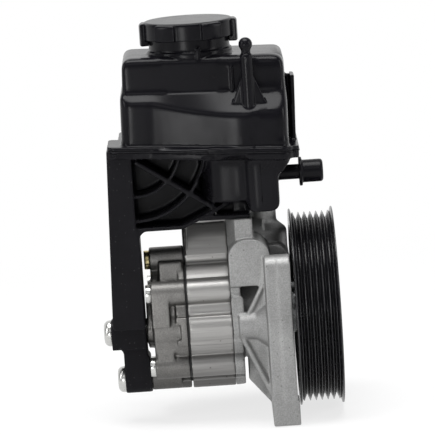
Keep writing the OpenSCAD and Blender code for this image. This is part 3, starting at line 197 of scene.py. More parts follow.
@dataclass(frozen=True)
class Rod:
    """A round form between two places, in millimetres, that a solid is melted together with.

    Attributes:
        start: The middle of one end.
        end: The middle of the other end.
        start_r: The radius at the start.
        end_r: The radius at the end.
        clear_r: Radius round the shaft that the form stays out of, for the bore there.
    """

    start: Point
    end: Point
    start_r: float
    end_r: float
    clear_r: float = 0.0

    def put(self, shape: Shape) -> None:
        """Adds the form to a shape.

        Args:
            shape: The shape that gets it.
        """
        start, end = Vector(self.start) * MM, Vector(self.end) * MM
        turn = (end - start).to_track_quat("Z", "Y").to_matrix().to_4x4()
        made = bmesh.ops.create_cone(
            shape, cap_ends=True, segments=64, radius1=self.start_r * MM, radius2=self.end_r * MM,
            depth=(end - start).length, matrix=Matrix.Translation((start + end) / 2) @ turn)
        for vert in made["verts"]:
            grow = self.clear_r * MM / math.hypot(vert.co.y, vert.co.z)
            if grow > 1.0:
                vert.co.y, vert.co.z = vert.co.y * grow, vert.co.z * grow


@dataclass(frozen=True)
class Wedge:
    """A form between two level rectangles, in millimetres, that a solid is melted together with.

    Attributes:
        low: The lowest corner of the lower rectangle.
        low_size: Width and depth of the lower rectangle.
        high: The lowest corner of the upper rectangle.
        high_size: Width and depth of the upper rectangle.
    """

    low: Point
    low_size: tuple[float, float]
    high: Point
    high_size: tuple[float, float]

    def put(self, shape: Shape) -> None:
        """Adds the form to a shape.

        Args:
            shape: The shape that gets it.
        """
        corners = []
        for (x, y, z), (width, depth) in ((self.low, self.low_size), (self.high, self.high_size)):
            corners += [(x, y, z), (x + width, y, z), (x, y + depth, z), (x + width, y + depth, z)]
        bmesh.ops.convex_hull(shape, input=[shape.verts.new(Vector(corner) * MM) for corner in corners])


@dataclass(frozen=True)
class Shift:
    """Moves the front of a moulding, by an amount that changes along the shaft, in millimetres.

    Attributes:
        amounts: Places along the shaft, in rising order, with the move back and the front face there.
        behind: Nothing behind this moves, and from there to the front face the move grows.
        height: The lowest and highest place that moves.
        fade: Over this height the move fades out at the top.
    """

    amounts: tuple[tuple[float, float, float], ...]
    behind: float
    height: tuple[float, float]
    fade: float

    def amount(self, place: Vector) -> float:
        """Finds the move at a place.

        Args:
            place: The place, in metres.

        Returns:
            The move towards the back, in metres.
        """
        x, y, z = place / MM
        if not self.height[0] <= z <= self.height[1]:
            return 0.0
        for (x0, move0, front0), (x1, move1, front1) in zip(self.amounts, self.amounts[1:]):
            if x0 <= x < x1:
                along = (x - x0) / (x1 - x0)
                front = front0 + (front1 - front0) * along
                share = min(max((self.behind - y) / (self.behind - front), 0.0), 1.0)
                share *= min((self.height[1] - z) / self.fade, 1.0)
                return share * (move0 + (move1 - move0) * along) * MM
        return 0.0


def new_group(name: str, inputs: dict[str, float], outputs: dict[str, str]) -> tuple[
        Tree, bpy.types.Node, bpy.types.Node]:
    """Starts a shader node group that reads a position.

    Args:
        name: The group's name.
        inputs: Number inputs with their default values.
        outputs: Output names with their socket types.

    Returns:
        The empty group, its input node and its output node.
    """
    tree = bpy.data.node_groups.new(name, "ShaderNodeTree")
    tree.interface.new_socket("Position", in_out="INPUT", socket_type="NodeSocketVector")
    for label, value in inputs.items():
        socket = tree.interface.new_socket(label, in_out="INPUT", socket_type="NodeSocketFloat")
        socket.default_value = value
    for label, kind in outputs.items():
        tree.interface.new_socket(label, in_out="OUTPUT", socket_type=kind)
    return tree, tree.nodes.new("NodeGroupInput"), tree.nodes.new("NodeGroupOutput")


class SurfaceGroups:
    """The shader node groups that several finishes share, each built once."""

    def __init__(self) -> None:
        """Builds the groups."""
        self.relief = self._build_relief()
        self.cloud = self._build_cloud()
        self.streak = self._build_streak()
        self.specks = self._build_specks()

    @staticmethod
    def _noise(tree: Tree, scale: float, detail: float) -> bpy.types.Node:
        """Adds a noise node.

        Args:
            tree: The group that gets it.
            scale: Its scale, in waves per metre.
            detail: How many finer layers it has.

        Returns:
            The noise node.
        """
        node = tree.nodes.new("ShaderNodeTexNoise")
        node.inputs["Scale"].default_value = scale
        node.inputs["Detail"].default_value = detail
        node.inputs["Roughness"].default_value = 0.55
        return node

    def _build_relief(self) -> Tree:
        """Builds the fine relief of a moulded or cast skin.

        Returns:
            The group, with a height between 0 and 1.
        """
        tree, start, end = new_group("skin_relief", {"Scale": 900.0, "Coarse": 0.4},
                                     {"Height": "NodeSocketFloat"})
        fine = self._noise(tree, 900.0, 3.0)
        coarse = self._noise(tree, 120.0, 2.0)
        mix = tree.nodes.new("ShaderNodeMix")
        for node in (fine, coarse):
            tree.links.new(start.outputs["Position"], node.inputs["Vector"])
        tree.links.new(start.outputs["Scale"], fine.inputs["Scale"])
        tree.links.new(start.outputs["Coarse"], mix.inputs["Factor"])
        tree.links.new(fine.outputs["Fac"], mix.inputs["A"])
        tree.links.new(coarse.outputs["Fac"], mix.inputs["B"])
        tree.links.new(mix.outputs["Result"], end.inputs["Height"])
        return tree

    def _build_cloud(self) -> Tree:
        """Builds the slow change of tone over a surface.

        Returns:
            The group, with a mask between 0 and 1.
        """
        tree, start, end = new_group("tone_cloud", {"Scale": 45.0, "Speckle": 0.3},
                                     {"Mask": "NodeSocketFloat"})
        slow = self._noise(tree, 45.0, 4.0)
        quick = self._noise(tree, 1400.0, 1.0)
        mix = tree.nodes.new("ShaderNodeMix")
        spread = tree.nodes.new("ShaderNodeMapRange")
        spread.inputs["From Min"].default_value = 0.3
        spread.inputs["From Max"].default_value = 0.7
        for node in (slow, quick):
            tree.links.new(start.outputs["Position"], node.inputs["Vector"])
        tree.links.new(start.outputs["Scale"], slow.inputs["Scale"])
        tree.links.new(start.outputs["Speckle"], mix.inputs["Factor"])
        tree.links.new(slow.outputs["Fac"], mix.inputs["A"])
        tree.links.new(quick.outputs["Fac"], mix.inputs["B"])
        tree.links.new(mix.outputs["Result"], spread.inputs["Value"])
        tree.links.new(spread.outputs["Result"], end.inputs["Mask"])
        return tree

    def _build_streak(self) -> Tree:
        """Builds marks drawn out along the shaft, as tools and dies leave them.

        Returns:
            The group, with a mask between 0 and 1.
        """
        tree, start, end = new_group("drawn_streak", {"Scale": 1.0}, {"Mask": "NodeSocketFloat"})
        stretch = tree.nodes.new("ShaderNodeVectorMath")
        stretch.operation = "MULTIPLY"
        stretch.inputs[1].default_value = (25.0, 700.0, 700.0)
        noise = self._noise(tree, 1.0, 3.0)
        tree.links.new(start.outputs["Position"], stretch.inputs[0])
        tree.links.new(stretch.outputs["Vector"], noise.inputs["Vector"])
        tree.links.new(start.outputs["Scale"], noise.inputs["Scale"])
        tree.links.new(noise.outputs["Fac"], end.inputs["Mask"])
        return tree

    def _build_specks(self) -> Tree:
        """Builds small specks strewn over a surface, such as pits or dust.

        Returns:
            The group, with a mask that is 1 on a speck.
        """
        tree, start, end = new_group("strewn_specks", {"Scale": 500.0, "Size": 0.2},
                                     {"Mask": "NodeSocketFloat"})
        cells = tree.nodes.new("ShaderNodeTexVoronoi")
        cells.feature = "F1"
        edge = tree.nodes.new("ShaderNodeMapRange")
        edge.inputs["To Min"].default_value = 1.0
        edge.inputs["To Max"].default_value = 0.0
        tree.links.new(start.outputs["Position"], cells.inputs["Vector"])
        tree.links.new(start.outputs["Scale"], cells.inputs["Scale"])
        tree.links.new(cells.outputs["Distance"], edge.inputs["Value"])
        tree.links.new(start.outputs["Size"], edge.inputs["From Max"])
        tree.links.new(edge.outputs["Result"], end.inputs["Mask"])
        return tree


GROUPS = SurfaceGroups()


@dataclass(frozen=True)
class Finish:
    """One finish of the pump's pieces.

    Attributes:
        name: The material's name.
        dark: The colour in the dull places.
        light: The colour in the bright places.
        metallic: 1 for bare metal, 0 for plastic, rubber and paint.
        roughness: The smallest and largest roughness.
        grain: What the surface looks like close up.
        relief_mm: How deep the relief is.
        relief_scale: Waves of the relief per metre.
        coat: Weight of a clear coat.
        specular: Strength of the gloss on plastic, rubber and paint.
        speck_tone: Colour of the specks strewn over the surface.
        speck_size: Size of a speck within its cell, 0 for none.
        speck_scale: Cells of the specks per metre.
        matt_x_mm: Left of this place along the shaft the surface is matt and dusty, where it is set.
        painted_shade: How much darker the underside is painted, as painted shade, 1 for not at all.
        painted_shade_z_mm: Heights between which the painted shade darkens the surface.
    """

    name: str
    dark: Colour
    light: Colour
    metallic: float
    roughness: tuple[float, float]
    grain: Grain
    relief_mm: float = 0.02
    relief_scale: float = 900.0
    coat: float = 0.0
    specular: float = 0.5
    speck_tone: Colour = (0.1, 0.1, 0.1)
    speck_size: float = 0.0
    speck_scale: float = 450.0
    matt_x_mm: float | None = None
    # Painted shade: these two darken the colour towards the underside, where less light falls.
    painted_shade: float = 1.0
    painted_shade_z_mm: tuple[float, float] = (-6.0, -42.0)

    def material(self) -> bpy.types.Material:
        """Builds the material, or finds it if it was built before.

        Returns:
            The material.
        """
        if self.name in BUILT:
            return BUILT[self.name]
        made = BUILT[self.name] = bpy.data.materials.new(self.name + "_finish")
        made.use_nodes = True
        tree = made.node_tree
        shader = tree.nodes["Principled BSDF"]
        shader.inputs["Metallic"].default_value = self.metallic
        shader.inputs["Coat Weight"].default_value = self.coat
        shader.inputs["Coat Roughness"].default_value = 0.15
        shader.inputs["Specular IOR Level"].default_value = self.specular
        place = tree.nodes.new("ShaderNodeTexCoord")
        tone = self._tone(tree, place)
        colour = tree.nodes.new("ShaderNodeMix")
        colour.data_type = "RGBA"
        colour.inputs["A"].default_value = (*self.dark, 1.0)
        colour.inputs["B"].default_value = (*self.light, 1.0)
        tree.links.new(tone, colour.inputs["Factor"])
        rough = tree.nodes.new("ShaderNodeMapRange")
        rough.inputs["To Min"].default_value = self.roughness[1]
        rough.inputs["To Max"].default_value = self.roughness[0]
        tree.links.new(tone, rough.inputs["Value"])
        skin, dull, matt = colour.outputs["Result"], rough.outputs["Result"], None
        if self.matt_x_mm is not None:
            ends_mm = (self.matt_x_mm + MATT_EDGE_MM, self.matt_x_mm - MATT_EDGE_MM)
            matt = self._ramp(tree, place, "X", ends_mm)
            dull = self._dulled(tree, dull, matt)
        if self.speck_size:
            skin = self._strewn(tree, place, skin, matt)
        # Painted shade: the colour darkens towards the underside.
        if self.painted_shade < 1.0:
            skin = self._paint_underside_shade(tree, place, skin)
        tree.links.new(skin, shader.inputs["Base Color"])
        tree.links.new(dull, shader.inputs["Roughness"])
        relief = tree.nodes.new("ShaderNodeGroup")
        relief.node_tree = GROUPS.relief
        relief.inputs["Scale"].default_value = self.relief_scale
        relief.inputs["Coarse"].default_value = 0.5 if self.grain is Grain.CAST else 0.25
        bump = tree.nodes.new("ShaderNodeBump")
        bump.inputs["Distance"].default_value = self.relief_mm * MM
        tree.links.new(place.outputs["Object"], relief.inputs["Position"])
        tree.links.new(relief.outputs["Height"], bump.inputs["Height"])
        tree.links.new(bump.outputs["Normal"], shader.inputs["Normal"])
        return made

    def _tone(self, tree: Tree, place: bpy.types.Node) -> Socket:
        """Adds the mask that mixes the two colours.

        Args:
            tree: The material's nodes.
            place: The node with the coordinates.

        Returns:
            The socket with the mask.
        """
        group = tree.nodes.new("ShaderNodeGroup")
        if self.grain in (Grain.DRAWN, Grain.TURNED):
            group.node_tree = GROUPS.streak
        else:
            group.node_tree = GROUPS.cloud
            group.inputs["Speckle"].default_value = 0.5 if self.grain is Grain.CAST else 0.2
        tree.links.new(place.outputs["Object"], group.inputs["Position"])
        return group.outputs["Mask"]

    @staticmethod
    def _ramp(tree: Tree, place: bpy.types.Node, axis: str, ends_mm: tuple[float, float]) -> Socket:
        """Adds a mask that rises along an axis.

        Args:
            tree: The material's nodes.
            place: The node with the coordinates.
            axis: The axis, X, Y or Z.
            ends_mm: Where the mask is 0 and where it is 1.

        Returns:
            The socket with the mask.
        """
        split = tree.nodes.new("ShaderNodeSeparateXYZ")
        rise = tree.nodes.new("ShaderNodeMapRange")
        rise.inputs["From Min"].default_value = ends_mm[0] * MM
        rise.inputs["From Max"].default_value = ends_mm[1] * MM
        tree.links.new(place.outputs["Object"], split.inputs["Vector"])
        tree.links.new(split.outputs[axis], rise.inputs["Value"])
        return rise.outputs["Result"]

    def _strewn(self, tree: Tree, place: bpy.types.Node, colour: Socket, matt: Socket | None) -> Socket:
        """Strews specks over a colour.

        Args:
            tree: The material's nodes.
            place: The node with the coordinates.
            colour: The colour without specks.
            matt: The mask of the stretch that has them, or None for all over.

        Returns:
            The socket with the new colour.
        """
        group = tree.nodes.new("ShaderNodeGroup")
        group.node_tree = GROUPS.specks
        group.inputs["Scale"].default_value = self.speck_scale
        group.inputs["Size"].default_value = self.speck_size
        tree.links.new(place.outputs["Object"], group.inputs["Position"])
        mask = group.outputs["Mask"]
        if matt:
            both = tree.nodes.new("ShaderNodeMath")
            both.operation = "MULTIPLY"
            tree.links.new(mask, both.inputs[0])
            tree.links.new(matt, both.inputs[1])
            mask = both.outputs[0]
        blend = tree.nodes.new("ShaderNodeMix")
        blend.data_type = "RGBA"
        blend.inputs["B"].default_value = (*self.speck_tone, 1.0)
        tree.links.new(mask, blend.inputs["Factor"])
        tree.links.new(colour, blend.inputs["A"])
        return blend.outputs["Result"]

    def _paint_underside_shade(self, tree: Tree, place: bpy.types.Node, colour: Socket) -> Socket:
        """Darkens a colour towards the underside, as painted shade.

        Args:
            tree: The material's nodes.
            place: The node with the coordinates.
            colour: The colour higher up.

        Returns:
            The socket with the new colour.
        """
        blend = tree.nodes.new("ShaderNodeMix")
        blend.data_type = "RGBA"
        blend.blend_type = "MULTIPLY"
        blend.inputs["B"].default_value = (self.painted_shade, self.painted_shade, self.painted_shade, 1.0)
        tree.links.new(self._ramp(tree, place, "Z", self.painted_shade_z_mm), blend.inputs["Factor"])
        tree.links.new(colour, blend.inputs["A"])
        return blend.outputs["Result"]

    @staticmethod
    def _dulled(tree: Tree, rough: Socket, matt: Socket) -> Socket:
        """Raises the roughness on the matt stretch.

        Args:
            tree: The material's nodes.
            rough: The roughness elsewhere.
            matt: The mask of the matt stretch.

        Returns:
            The socket with the new roughness.
        """
        blend = tree.nodes.new("ShaderNodeMix")
        blend.inputs["B"].default_value = MATT_ROUGHNESS
        tree.links.new(matt, blend.inputs["Factor"])
        tree.links.new(rough, blend.inputs["A"])
        return blend.outputs["Result"]


BLACK_MOULDING = Finish("black_moulding", (0.0030, 0.0028, 0.0040), (0.0058, 0.0055, 0.0074), 0.0,
                        (0.20, 0.28), Grain.MOULDED, 0.010, 700.0, specular=0.12)
# Painted light: the bowl's black is lighter than the tank's, which lifts the shade in its recessed web.
BLACK_BOWL = Finish("black_bowl_moulding", (0.0050, 0.0048, 0.0060), (0.0082, 0.0079, 0.0098), 0.0,
                    (0.22, 0.30), Grain.MOULDED, 0.012, 700.0, specular=0.10, speck_tone=(0.05, 0.05, 0.05),
                    speck_size=0.16, speck_scale=330.0, matt_x_mm=-102.4)
BLACK_CAP = Finish("black_cap", (0.0030, 0.0028, 0.0040), (0.0058, 0.0055, 0.0074), 0.0,
                   (0.26, 0.34), Grain.MOULDED, specular=0.12)
NATURAL_PLASTIC = Finish("natural_plastic", (0.60, 0.54, 0.38), (0.70, 0.64, 0.47), 0.0,
                         (0.38, 0.46), Grain.MOULDED)
BLACK_RUBBER = Finish("black_rubber", (0.012, 0.012, 0.012), (0.022, 0.022, 0.022), 0.0,
                      (0.60, 0.72), Grain.MOULDED, specular=0.3)
CAST_ALUMINIUM = Finish("cast_aluminium", (0.26, 0.26, 0.257), (0.40, 0.40, 0.396), 1.0,
                        (0.52, 0.64), Grain.CAST, 0.06, 1100.0, speck_tone=(0.12, 0.118, 0.11),
                        speck_size=0.13, speck_scale=230.0)
# Painted shade: the ring's colour is darkened towards the underside.
FINE_ALUMINIUM = Finish("fine_aluminium", (0.28, 0.275, 0.268), (0.47, 0.463, 0.452), 1.0,
                        (0.40, 0.52), Grain.DRAWN, 0.03, 900.0, speck_tone=(0.11, 0.10, 0.085),
                        speck_size=0.12, speck_scale=180.0, painted_shade=0.42)
# Painted shade: the rear cover's colours are set darker than the ring's aluminium, and darken further towards
# the underside.
COVER_ALUMINIUM = Finish("cover_aluminium", (0.15, 0.147, 0.141), (0.26, 0.254, 0.245), 1.0,
                         (0.42, 0.54), Grain.CAST, 0.05, 1000.0, painted_shade=0.5)
ZINC = Finish("zinc_plate", (0.46, 0.46, 0.45), (0.68, 0.68, 0.66), 1.0,
              (0.22, 0.34), Grain.TURNED, 0.01)
YELLOW_ZINC = Finish("yellow_zinc_plate", (0.50, 0.42, 0.20), (0.74, 0.64, 0.36), 1.0,
                     (0.22, 0.34), Grain.TURNED, 0.01)
GROUND_STEEL = Finish("ground_steel", (0.30, 0.305, 0.31), (0.46, 0.465, 0.47), 1.0,
                      (0.20, 0.32), Grain.TURNED, 0.008)
BRONZE = Finish("bearing_bronze", (0.42, 0.28, 0.10), (0.60, 0.43, 0.19), 1.0,
                (0.26, 0.38), Grain.TURNED, 0.01)
BLACK_PAINT = Finish("black_paint", (0.006, 0.006, 0.007), (0.010, 0.010, 0.012), 0.0,
                     (0.20, 0.30), Grain.MOULDED, 0.010, 500.0, 0.15, specular=0.6)


@dataclass
class Softener:
    """Makes rounded copies of the solids, which stand for them in the looks.

    Attributes:
        made: Names of the copies made so far.
    """

    made: list[str] = field(default_factory=list)

    @staticmethod
    def merged(node: str, flat_deg: float) -> Shape:
        """Copies a solid's triangles, merges them and joins those that lie in one plane.

        Args:
            node: The solid's name.
            flat_deg: Faces that turn by less than this are joined.

        Returns:
            The merged copy.
        """
        shape = bmesh.new()
        shape.from_mesh(frame["nodes"][node].data)
        bmesh.ops.remove_doubles(shape, verts=shape.verts, dist=MERGE_MM * MM)
        bmesh.ops.dissolve_limit(shape, angle_limit=math.radians(flat_deg), verts=shape.verts,
                                 edges=shape.edges)
        return shape

    @staticmethod
    def finish_object(node: str, shape: Shape, finish: Finish, sharp_deg: float) -> bpy.types.Object:
        """Makes an object of a shape, and lets it stand for a solid.

        Args:
            node: The solid that it stands for.
            shape: The new shape, which is freed.
            finish: The finish that it gets.
            sharp_deg: Edges that turn by more than this stay sharp.

        Returns:
            The new object.
        """
        mesh = bpy.data.meshes.new(node + "_soft")
        shape.to_mesh(mesh)
        shape.free()
        mesh.materials.append(finish.material())
        for face in mesh.polygons:
            face.use_smooth = True
            face.material_index = 0
        mesh.set_sharp_from_angle(angle=math.radians(sharp_deg))
        made = bpy.data.objects.new(node + "_soft", mesh)
        bpy.context.scene.collection.objects.link(made)
        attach(made, frame["nodes"][node]["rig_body"])
        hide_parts(node)
        return made

    def bevelled(self, node: str, finish: Finish, width_mm: float,
                 segments: int = 2) -> bpy.types.Object:
        """Rounds the sharp edges of a solid with small bevels.

        Args:
            node: The solid's name.
            finish: The finish of the copy.
            width_mm: Width of the bevels.
            segments: Faces across a bevel.

        Returns:
            The rounded copy.
        """
        shape = self.merged(node, FLAT_DEG)
        sharp = [edge for edge in shape.edges
                 if len(edge.link_faces) == 2 and edge.calc_face_angle() >= math.radians(BEVEL_DEG)]
        bmesh.ops.bevel(shape, geom=sharp, offset=width_mm * MM, offset_type="OFFSET", affect="EDGES",
                        segments=segments, profile=0.5, material=-1, clamp_overlap=True)
        made = self.finish_object(node, shape, finish, SHARP_DEG)
        self.made.append(made.name)
        LOG.info("%s: bevelled, %d edges, %d faces", made.name, len(sharp), len(made.data.polygons))
        return made

    def melted(self, node: str, finish: Finish, voxel_mm: float, passes: tuple[Melt, ...],
               keep: float, forms: tuple[Rod | Wedge, ...] = (),
               shift: Shift | None = None) -> bpy.types.Object:
        """Rounds all edges and corners of a solid, outer and inner ones, as mouldings and castings have them.

        Args:
            node: The solid's name.
            finish: The finish of the copy.
            voxel_mm: Size of the cells that the solid is rebuilt from.
            passes: How the surface is drawn together, and where.
            keep: Share of the faces that is kept.
            forms: Forms that are melted together with the solid.
            shift: How its front is moved.

        Returns:
            The rounded copy.
        """
        solid = self.merged(node, SAME_PLANE_DEG)
        for form in forms:
            form.put(solid)
        made = self.finish_object(node, solid, finish, 180.0)
        remesh = made.modifiers.new("cells", "REMESH")
        remesh.mode = "VOXEL"
        remesh.voxel_size = voxel_mm * MM
        self._bake(made)
        shape = bmesh.new()
        shape.from_mesh(made.data)
        if shift:
            for corner in shape.verts:
                corner.co.y += shift.amount(corner.co)
        for melt in passes:
            inside = [v for v in shape.verts if melt.holds(v.co)]
            for _ in range(melt.rounds):
                bmesh.ops.smooth_vert(shape, verts=inside, factor=0.5, use_axis_x=True, use_axis_y=True,
                                      use_axis_z=True)
        shape.to_mesh(made.data)
        shape.free()
        thin = made.modifiers.new("thin", "DECIMATE")
        thin.ratio = keep
        self._bake(made)
        made.data.materials.clear()
        made.data.materials.append(finish.material())
        for face in made.data.polygons:
            face.use_smooth = True
        self.made.append(made.name)
        LOG.info("%s: melted, %d faces", made.name, len(made.data.polygons))
        return made

    @staticmethod
    def _bake(target: bpy.types.Object) -> None:
        """Applies an object's modifiers to its mesh.

        Args:
            target: The object, which gets a new mesh.
        """
        graph = bpy.context.evaluated_depsgraph_get()
        baked = bpy.data.meshes.new_from_object(target.evaluated_get(graph))
        target.modifiers.clear()
        target.data = baked


@dataclass
class Group:
    """A set of solids that keep their own shape and get one finish.

    Attributes:
        finish: The finish.
        nodes: The solids' names.
    """

    finish: Finish
    nodes: tuple[str, ...]

    def dress(self) -> None:
        """Gives each solid the finish."""
        for name in self.nodes:
            target = frame["nodes"][name]
            target.data.materials.clear()
            target.data.materials.append(self.finish.material())
            LOG.info("%s: %s", name, self.finish.name)


@dataclass
class Reservoir:
    """The moulded tank with its caps, in millimetres of the part's frame.

    Attributes:
        seam_x: The place along the shaft that the seam turns about.
        seam_z: Height of the seam there.
        seam_tilt_deg: Slope of the seam.
        flange_front_y: Front face of the seam's flange.
        sump_front: Place along the shaft and front face of the sump.
        peg_front: Place along the shaft and front of the peg.
        line_r: Radius of a mould's parting line.
        bead_r: Radius of the weld's bead.
        bead_lift: Height over the seam at which the bead's course is read.
        ridge_x: Place of the flange's short ridges along the shaft.
        ridge_z: Height of the lowest one.
        ridge_step: Distance from one to the next.
        ridge_size: Length, depth and height of one.
        peg: Where the hose peg stands, which keeps its edges.
        neck: Where the filler neck stands, which keeps its edges too.
        mould_line: Where a fine line runs up the front, which stays as it is.
        bulge: Gives the swept bulge its plan.
        bowl_front: Sets the bowl's front back, so that the sump stands out.
        foot_panel: Closes the corner at the foot of the web.
    """

    seam_x: float = -60.25
    seam_z: float = 103.3
    seam_tilt_deg: float = 3.2
    flange_front_y: float = -37.1
    sump_front: tuple[float, float] = (-28.8, -41.0)
    peg_front: tuple[float, float] = (-32.8, -39.3)
    line_r: float = 0.28
    bead_r: float = 0.35
    bead_lift: float = 0.2
    ridge_x: float = -113.2
    ridge_z: float = 103.0
    ridge_step: float = 1.45
    ridge_size: Point = (4.0, 0.9, 0.75)
    peg: Region = Region((-44.0, -46.0, 126.0), (-21.0, -31.2, 175.0))
    neck: Post = Post(-65.75, -3.0, 30.0)
    mould_line: Region = Region((-43.6, -33.0, 129.0), (-40.4, -28.0, 151.0))
    bulge: Shift = Shift((
        (-92.5, 0.0, -34.5), (-90.0, 0.65, -35.2), (-85.0, 1.77, -36.5), (-80.0, 2.6, -37.7),
        (-75.0, 3.15, -38.8), (-70.0, 3.4, -39.7), (-65.0, 3.36, -40.4), (-60.0, 3.08, -41.0),
        (-55.0, 2.58, -41.5), (-50.0, 1.89, -41.8), (-45.0, 0.99, -42.0), (-42.0, 0.45, -42.0),
        (-38.0, 0.0, -42.0)), -30.0, (106.0, 145.0), 2.0)
    bowl_front: Shift = Shift(tuple((x, move, -29.0) for x, move in (
        (-64.0, 0.0), (-61.0, -1.5), (-58.0, -1.4), (-55.0, -0.2), (-52.0, 1.2), (-49.0, 2.5), (-46.0, 3.4),
        (-43.0, 4.1), (-40.0, 4.4), (-37.6, 4.5), (-37.0, 0.0))), -24.0, (64.0, 101.0), 2.0)
    foot_panel: Wedge = Wedge((-57.0, -18.4, 63.0), (14.5, 2.4), (-53.0, -18.4, 71.0), (10.5, 2.4))

    def dress(self, softener: Softener) -> None:
        """Rounds the mouldings' edges and gives the tank its finishes.

        Args:
            softener: Makes the rounded copies.
        """
        all_over = Melt(2)
        soft_tank = Melt(34, (Region((-113, -46, 110), (-9, 36, 160)),),
                         (self.peg, self.neck, self.mould_line))
        soft_corner = Melt(120, (Region((-28, -46, 107.5), (-8, -16, 160)),), (self.peg,))
        soft_sump = Melt(26, (Region((-42, -46, 64.5), (-16.5, -12, 99.5)),))
        soft_bowl = Melt(60, (Region((-66, -42, 73), (-38.5, -18.6, 99)),))
        softener.melted("reservoir_upper", BLACK_MOULDING, 0.6, (all_over, soft_tank, soft_corner),
                        0.38, shift=self.bulge)
        softener.melted("reservoir_lower", BLACK_BOWL, 0.7, (all_over, soft_sump, soft_bowl),
                        0.4, (self.foot_panel,), self.bowl_front)
        softener.melted("filler_cap", BLACK_MOULDING, 0.4, (all_over,), 0.4)
        softener.melted("return_port_cap", BLACK_CAP, 0.4, (all_over,), 0.6)
        softener.bevelled("reservoir_screws", ZINC, 0.35)
        Group(NATURAL_PLASTIC, ("dipstick", "outlet_strainer")).dress()
        Group(BLACK_RUBBER, ("cap_seal", "inlet_seal")).dress()
        Group(ZINC, ("screw_bushes",)).dress()

    def _add(self, name: str, shape: Shape) -> bpy.types.Object:
        """Makes a moulded detail of a shape and lets it ride on the pump.

        Args:
            name: The detail's name.
            shape: Its shape, which is freed.

        Returns:
            The new object.
        """
        bmesh.ops.recalc_face_normals(shape, faces=shape.faces)
        mesh = bpy.data.meshes.new(name)
        shape.to_mesh(mesh)
        shape.free()
        mesh.materials.append(BLACK_MOULDING.material())
        for face in mesh.polygons:
            face.use_smooth = True
        made = bpy.data.objects.new(name, mesh)
        bpy.context.scene.collection.objects.link(made)
        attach(made, frame["nodes"]["reservoir_lower"]["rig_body"])
        LOG.info("%s: %d faces", name, len(mesh.polygons))
        return made

    def add_parting_lines(self) -> None:
        """Adds the fine lines where the mould's halves met, on the sump and the peg."""
        lines = (("sump_parting_line", self.sump_front, (72.0, 96.8)),
                 ("peg_parting_line", self.peg_front, (131.0, 157.0)))
        for name, (x, y), (low, high) in lines:
            shape = bmesh.new()
            place = Matrix.Translation(Vector((x, y + self.line_r / 2, (low + high) / 2)) * MM)
            bmesh.ops.create_cone(shape, cap_ends=True, segments=12, radius1=self.line_r * MM,
                                  radius2=self.line_r * MM, depth=(high - low) * MM, matrix=place)
            self._add(name, shape)

    def add_ridges(self) -> None:
        """Adds the three short ridges at the left end of the seam's flange."""
        shape = bmesh.new()
        tilt = Matrix.Rotation(math.radians(self.seam_tilt_deg), 4, "Y")
        for step in range(3):
            place = Vector((self.ridge_x, self.flange_front_y, self.ridge_z + self.ridge_step * step)) * MM
            size = Matrix.Diagonal(Vector((*self.ridge_size, 1.0 / MM)) * MM)
            bmesh.ops.create_cube(shape, size=1.0, matrix=Matrix.Translation(place) @ tilt @ size)
        bmesh.ops.bevel(shape, geom=shape.edges[:], offset=0.2 * MM, affect="EDGES", segments=2, profile=0.5,
                        material=-1)
        self._add("flange_ridges", shape)

    def add_weld_bead(self) -> None:
        """Adds the bead that the weld left along the seam."""
        shape = Softener.merged("reservoir_upper", SAME_PLANE_DEG)
        tilt = math.radians(self.seam_tilt_deg)
        upright = Vector((math.sin(tilt), 0.0, math.cos(tilt)))
        lift = upright * self.bead_lift * MM
        seam = Vector((self.seam_x, 0.0, self.seam_z)) * MM
        whole = shape.verts[:] + shape.edges[:] + shape.faces[:]
        bmesh.ops.bisect_plane(shape, geom=whole, dist=0.001 * MM, plane_co=seam + lift, plane_no=upright,
                               clear_inner=True, clear_outer=True)
        loops = self._loops(shape)
        shape.free()
        outer = max(loops, key=lambda loop: max(p.x for p in loop) - min(p.x for p in loop))
        curve = bpy.data.curves.new("weld_path", "CURVE")
        curve.dimensions = "3D"
        curve.bevel_depth = self.bead_r * MM
        curve.bevel_resolution = 2
        spline = curve.splines.new("POLY")
        spline.points.add(len(outer) - 1)
        spline.use_cyclic_u = True
        for point, place in zip(spline.points, outer):
            point.co = (*(place - lift), 1.0)
        route = bpy.data.objects.new("weld_path", curve)
        tube = bmesh.new()
        tube.from_mesh(route.to_mesh())
        bpy.data.objects.remove(route)
        self._add("weld_bead", tube)

    @staticmethod
    def _loops(shape: Shape) -> list[list[Vector]]:
        """Follows the closed rows of edges in a shape.

        Args:
            shape: A shape of bare edges.

        Returns:
            The places along each row.
        """
        left = set(shape.verts)
        loops = []
        while left:
            row = [left.pop()]
            while True:
                nexts = [e.other_vert(row[-1]) for e in row[-1].link_edges]
                nexts = [v for v in nexts if v in left]
                if not nexts:
                    break
                left.discard(nexts[0])
                row.append(nexts[0])
            loops.append([v.co.copy() for v in row])
        return loops


